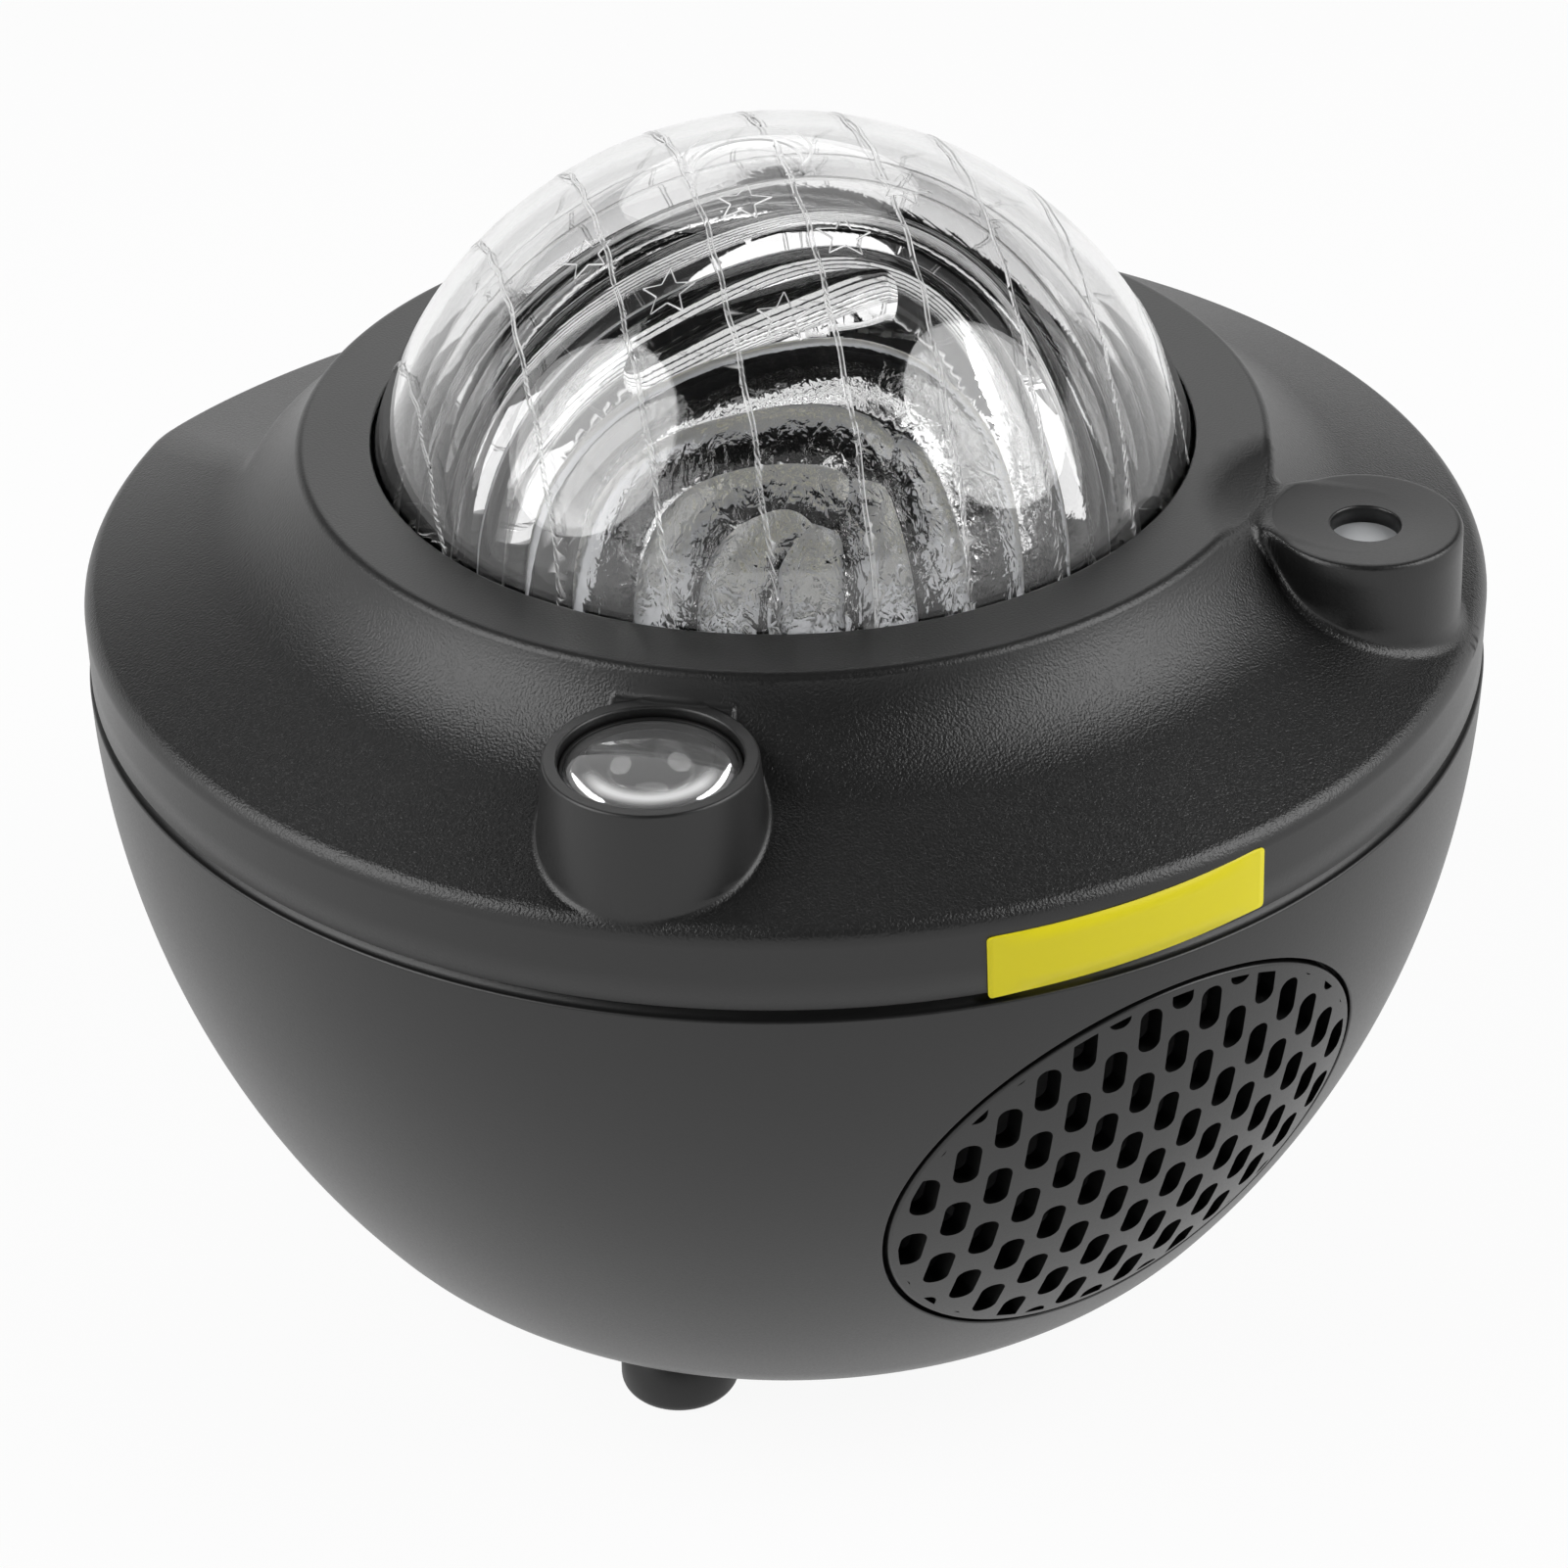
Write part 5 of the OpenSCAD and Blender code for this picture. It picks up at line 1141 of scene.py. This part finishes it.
def lobeDistances(spots, c):
    # distances to the middles of the nearest two lobes
    far = 1e3
    centred = spots - (c["archRight"], c["archUp"])
    turn = np.degrees(np.arctan2(centred[:, 1], centred[:, 0]))
    bulge = c["bulge"] * np.exp(-((turn - c["bulgeTurn"]) / c["bulgeSpan"]) ** 2)
    reach = reachOf(centred) - bulge - c["firstArch"]
    k = np.maximum(np.round(reach / c["pitch"]), 0)
    off = np.abs(reach - k * c["pitch"])
    columns = np.full((len(spots), len(c["lobes"]) + 2), far)
    columns[:, 0] = off
    columns[:, 1] = np.where((k > 0) | (reach > 0), c["pitch"] - off, far)
    near = reach < c["pitch"]
    for i, lobe in enumerate(c["lobes"]):
        columns[near, i + 2] = lineDistance(spots[near], smoothLine(lobe))
    return np.sort(columns, axis=1)[:, :2].T


def creasePoints(spots, c):
    # which places are near a crease, and points exactly on the creases
    def gap(places):
        first, second = lobeDistances(places, c)
        return second - first

    side = 0.02
    share = gap(spots)
    onCrease = spots[share < 1.3 * c["step"]]
    for _ in range(3):
        slope = np.stack([gap(onCrease + way) - gap(onCrease - way) for way in ((side, 0), (0, side))], 1)
        slope /= 2 * side
        onCrease = onCrease - gap(onCrease)[:, None] * slope / np.maximum((slope ** 2).sum(1), 0.2)[:, None]
    onCrease = onCrease[gap(onCrease) < 0.03]
    _, kept = np.unique(np.round(onCrease / 0.3), axis=0, return_index=True)
    return share < 1.1 * c["step"], onCrease[np.sort(kept)]


def makeRippleDome(c):
    radius, step, high = c["radius"], c["step"], c["ringTop"]
    lastTilt = math.acos((c["low"] - domeZ) / (radius - c["height"] / 2))
    innerTilt = math.acos((high - domeZ) / c["innerRadius"])
    reach = radius * lastTilt
    points = np.concatenate([circle((0, 0), r, max(6, int(2 * math.pi * r / step)))
                             for r in np.linspace(0.3, reach - step, int(reach / step))])
    near, creases = creasePoints(aroundPole(ballWays(points, radius)[1], c), c)
    creases = ballPlan(creases, c)
    points = np.concatenate([points[~near], creases[reachOf(creases) < reach - 0.3]])
    rows = [(c["ringOutside"], c["low"]), (c["ringOutside"], c["ringLow"]), (c["ringInside"], c["ringLow"]),
            (c["ringInside"], high), (c["innerRadius"] * math.sin(innerTilt), high)]
    tilt = c["wrinkleTilt"]
    middle = (*polar(c["poleAngle"], radius * sinOf(tilt)), domeZ + radius * cosOf(tilt))
    wrinkles = (tuple(v * mm for v in middle), c["wrinkleReach"], c["wrinkleSize"], c["wrinkleDepth"])

    def reachAt(plan, ways, fade):
        away = lobeDistances(aroundPole(ways, c), c)[0]
        share = np.sqrt(np.clip(1 - (away / (c["sharpness"] * c["pitch"])) ** 2, 0, 1))
        return radius - c["height"] * (0.5 + (0.5 - share) * fade)

    return makeDome("ripple_lens_dome", radius, c["innerRadius"], lastTilt, innerTilt, reachAt, points, rows,
                    420, body="ripple_rotor", stands=["ripple_dome"],
                    look=clearPlastic("wrinkledPlastic", rough=0.01, wrinkles=wrinkles))


ripple = makeRippleDome(rippleDome)
print("ripple dome done", len(ripple.data.polygons))

# projector lens in the boss
lens = {
    "baseRadius": 9.65, "crownRadius": 9.3, "low": 105.6, "shoulder": 0.8, "crownFoot": 1.1,
    "crownLow": 107.8, "crownHeight": 1.35, "backRadius": 8.6, "backHeight": 4.2, "bevel": 0.12,
    # haze and the crescent are a white layer over the lens; the crescent is a painted reflection
    "haze": 0.07, "paintedCrescent": 0.8, "paintedCrescentAngle": -118.0, "paintedCrescentRadius": 6.9, "paintedCrescentWidth": 0.75,
    "ringInside": 9.36, "ringOutside": 9.85, "ringLow": 1.15, "ringTop": 108.0, "ringEdge": 0.1,
}


def capRadius(r, h):
    # radius of the ball that a cap is cut from
    return (r * r + h * h) / (2 * h)


def makeLens(c):
    low, base, bevel, segments = c["low"], c["baseRadius"], c["bevel"], 132
    back, front = capRadius(c["backRadius"], c["backHeight"]), capRadius(c["crownRadius"], c["crownHeight"])
    backEdge = math.degrees(math.asin(c["backRadius"] / back))
    frontEdge = math.degrees(math.asin(c["crownRadius"] / front))
    outline = arcPoints(0, low - c["backHeight"] + back, back, -90, backEdge - 90, 20)
    outline += [(base - bevel, low), (base, low + bevel), (base, low + c["shoulder"]),
                (c["crownRadius"], low + c["crownFoot"])]
    outline += arcPoints(0, c["crownLow"] + c["crownHeight"] - front, front, 90 - frontEdge, 90, 28)
    outline[0], outline[-1] = (0, outline[0][1]), (0, outline[-1][1])
    made = lathe("projector_lens", outline, "clear_plastic", lensAt, segments, stands=["projection_lens"],
                 look=clearPlastic("lensPlastic", 1.0)).data
    # painted reflection: a bright crescent of the white layer on the side away from the dome stands in for
    # the room that a thick lens shows, over a thin even haze of the same layer
    place = np.array([tuple(v.co)[:2] for v in made.vertices]) / mm - lensAt
    r = reachOf(place)
    toFront = (place @ np.array(polar(c["paintedCrescentAngle"], 1.0))) / np.maximum(r, 1e-6)
    paintedReflection = np.exp(-((r - c["paintedCrescentRadius"]) / c["paintedCrescentWidth"]) ** 2)
    paintedReflection *= np.clip((toFront - 0.15) / 0.5, 0, 1)
    addShare(made, "edge", c["haze"] + c["paintedCrescent"] * paintedReflection)
    inner, outer, top, edge = c["ringInside"], c["ringOutside"], c["ringTop"], c["ringEdge"]
    foot = low + c["ringLow"]
    ring = [(inner, foot), (outer, foot), (outer, top - edge), (outer - edge, top), (inner + edge, top),
            (inner, top - edge)]
    lathe("lens_retaining_ring", ring, "black_inner_plastic", lensAt, segments, stands=["lens_ring"])


makeLens(lens)
print("lens done")

# feet, whose tops follow the bowl's bottom
feet = {"radius": 7.3, "edge": 1.5, "outside": 1.4, "angle": 40.3, "plugRadius": 3.5, "plugTop": 12.0,
        "sink": 0.02}


def makeFoot(c, name, angle):
    # onBowl marks the points that are put on the bowl's bottom
    onBowl = -1.0
    radius, plug, edge = c["radius"], c["plugRadius"], c["edge"]
    outline = [(0, 0), *arcPoints(radius - edge, edge, edge, -90, 0, 8), (radius, onBowl), (plug + 1, onBowl),
               (plug, onBowl), (plug, c["plugTop"]), (0, c["plugTop"])]

    def follow(points):
        top = points[:, 2] == onBowl
        lift = heel - np.sqrt(heel ** 2 - np.maximum(reachOf(points[top]) - heelX, 0) ** 2)
        points[top, 2] = housing["footHeight"] + lift - c["sink"]
        return points

    lathe(name + "_pad", outline, "rubber", polar(angle, heelX + c["outside"]), 72, follow, stands=[name])


for name, angle in (("front_left_foot", 180 + feet["angle"]), ("front_right_foot", -feet["angle"]),
                    ("rear_left_foot", 180 - feet["angle"]), ("rear_right_foot", feet["angle"])):
    makeFoot(feet, name, angle)
print("feet done")

# push buttons with softly domed caps
button = {"up": 1.1, "edge": 0.45, "crown": 0.2, "guideRadius": 4.5, "guideTop": -2.7, "guideLow": -3.7,
          "stemRadius": 1.6, "stemLow": -4.1}


def makeButton(c, i, name):
    r, stem, guide = cover["buttonRadius"], c["stemRadius"], c["guideRadius"]
    flat = r - c["edge"]
    outline = [(0, c["stemLow"]), (stem, c["stemLow"]), (stem, c["guideLow"]), (guide, c["guideLow"]),
               (guide, c["guideTop"]), (r, c["guideTop"])]
    outline += arcPoints(flat, c["up"] - c["crown"] - c["edge"], c["edge"], 0, 84, 8)
    outline += [(flat * t, c["up"] - c["crown"] * t * t) for t in (0.8, 0.6, 0.4, 0.2, 0.0)]
    lathe(name + "_cap", outline, "button_plastic", (0, 0), 64, lambda points: onShelf(i, points), body=name,
          stands=[name])


for i, name in enumerate(("power_button", "light_button", "volume_down_button", "volume_up_button")):
    makeButton(button, i, name)
print("buttons done")

# blank sticker, which leans a little on the band
sticker = {"middle": -94.0, "length": 34.2, "height": 7.8, "low": 86.7, "thickness": 0.2, "off": 0.02,
           "lean": 1.9, "corner": 0.5, "columns": 48}


def makeSticker(c):
    # a closed sheet: plan x runs along the band and y up it
    half, tall, near = c["length"] / 2, c["height"] / 2, band + c["off"]
    outline = []
    for cx, cy, start in ((half, tall, 0), (-half, tall, 90), (-half, -tall, 180), (half, -tall, 270)):
        x, y = cx - math.copysign(c["corner"], cx), cy - math.copysign(c["corner"], cy)
        outline += arcPoints(x, y, c["corner"], start, start + 90, 5)
    outline = np.array(outline)
    columns = np.linspace(-half, half, c["columns"])[1:-1]
    heights = (-tall / 2, 0, tall / 2), (-tall + 0.1, tall - 0.1)
    net = np.array([(x, y) for ys in heights for x in columns for y in ys])

    def onBand(plan, radius):
        x = plan[:, 0] * cosOf(c["lean"]) - plan[:, 1] * sinOf(c["lean"])
        y = plan[:, 1] * cosOf(c["lean"]) + plan[:, 0] * sinOf(c["lean"])
        a = math.radians(c["middle"]) + x / band
        return np.stack([radius * np.cos(a), radius * np.sin(a), c["low"] + tall + y], 1)

    def outside(plan):
        points = onBand(plan, band + c["thickness"] + c["off"])
        return points, rowAt(points[:, :2] / reachOf(points)[:, None], 0)

    def inside(plan, outer, normal):
        return onBand(plan, near)

    verts, faces, _ = shell([outline], net, outside, inside, [[onBand(outline, near)]])
    makeObject("blank_sticker", verts, faces, "yellow_film", stands=["yellow_sticker"])


makeSticker(sticker)
print("sticker done")

# light, floor and backdrop
studio = {
    "worldLevel": 0.03, "floorRadius": 2.4, "coveRadius": 0.5, "wallTop": 1.0, "floorShade": 0.93,
    # soft boxes: angle round the object, height angle, distance, width and radiance
    "boxes": (("boxLeft", 168, 38, 1.0, 0.85, 4.2), ("boxRight", -40, 38, 1.0, 0.8, 4.4),
              ("boxBack", 62, 40, 1.1, 0.9, 1.3)),
}


def makeFloor(s):
    # a round floor that turns up into a wall; both look white in every clear or shiny thing
    f = Finish("backdropFinish", Roughness=0.9)
    f.shader.inputs["Base Color"].default_value = gray(0.9)
    seen = f.node("ShaderNodeLightPath")
    ways = seen.socket.node.outputs
    for kind in ("Is Glossy Ray", "Is Transmission Ray"):
        seen = seen.math("MAXIMUM", seen, Wire(f, ways[kind]))
    f.over(seen * s["floorShade"], f.node("ShaderNodeEmission", None, {"Color": gray(1.0), "Strength": 1.0}))
    cove = s["coveRadius"]
    outline = arcPoints(s["floorRadius"] - cove, cove, cove, -90, 0, 12)
    outline = [(outline[0][0], 0.0), *outline[1:], (s["floorRadius"], s["wallTop"])]
    count = 96
    verts = [(0.0, 0.0, 0.0)] + [(*p, z) for r, z in outline for p in circle((0, 0), r, count)]
    faces = [(0, 1 + i, 1 + (i + 1) % count) for i in range(count)]
    for a in range(1, 1 + count * (len(outline) - 1), count):
        ring = [(a + i, a + (i + 1) % count) for i in range(count)]
        faces += [(i, j, j + count, i + count) for i, j in ring]
    mesh = bpy.data.meshes.new("backdrop")
    mesh.from_pydata(verts, [], faces)
    mesh.shade_smooth()
    mesh.materials.append(f.material)
    floor = addObject("backdrop", mesh)


def makeStudio(s):
    world = bpy.data.worlds.new("studio")
    bpy.context.scene.world = world
    world.use_nodes = True
    background = world.node_tree.nodes["Background"]
    background.inputs["Color"].default_value = gray(1.0)
    background.inputs["Strength"].default_value = s["worldLevel"]
    makeFloor(s)
    target = Vector((0, 0, seamZ * mm))
    for name, angle, rise, distance, size, radiance in s["boxes"]:
        data = bpy.data.lights.new(name, "AREA")
        data.shape, data.size = "DISK", size
        data.energy = radiance * math.pi * math.pi * size ** 2 / 4
        obj = addObject(name, data)
        obj.location = target + Vector((*polar(angle, distance * cosOf(rise)), distance * sinOf(rise)))
        obj.rotation_euler = (target - obj.location).to_track_quat("-Z", "Y").to_euler()
    bpy.context.scene.view_settings.view_transform = "Standard"


makeStudio(studio)
print("studio done")
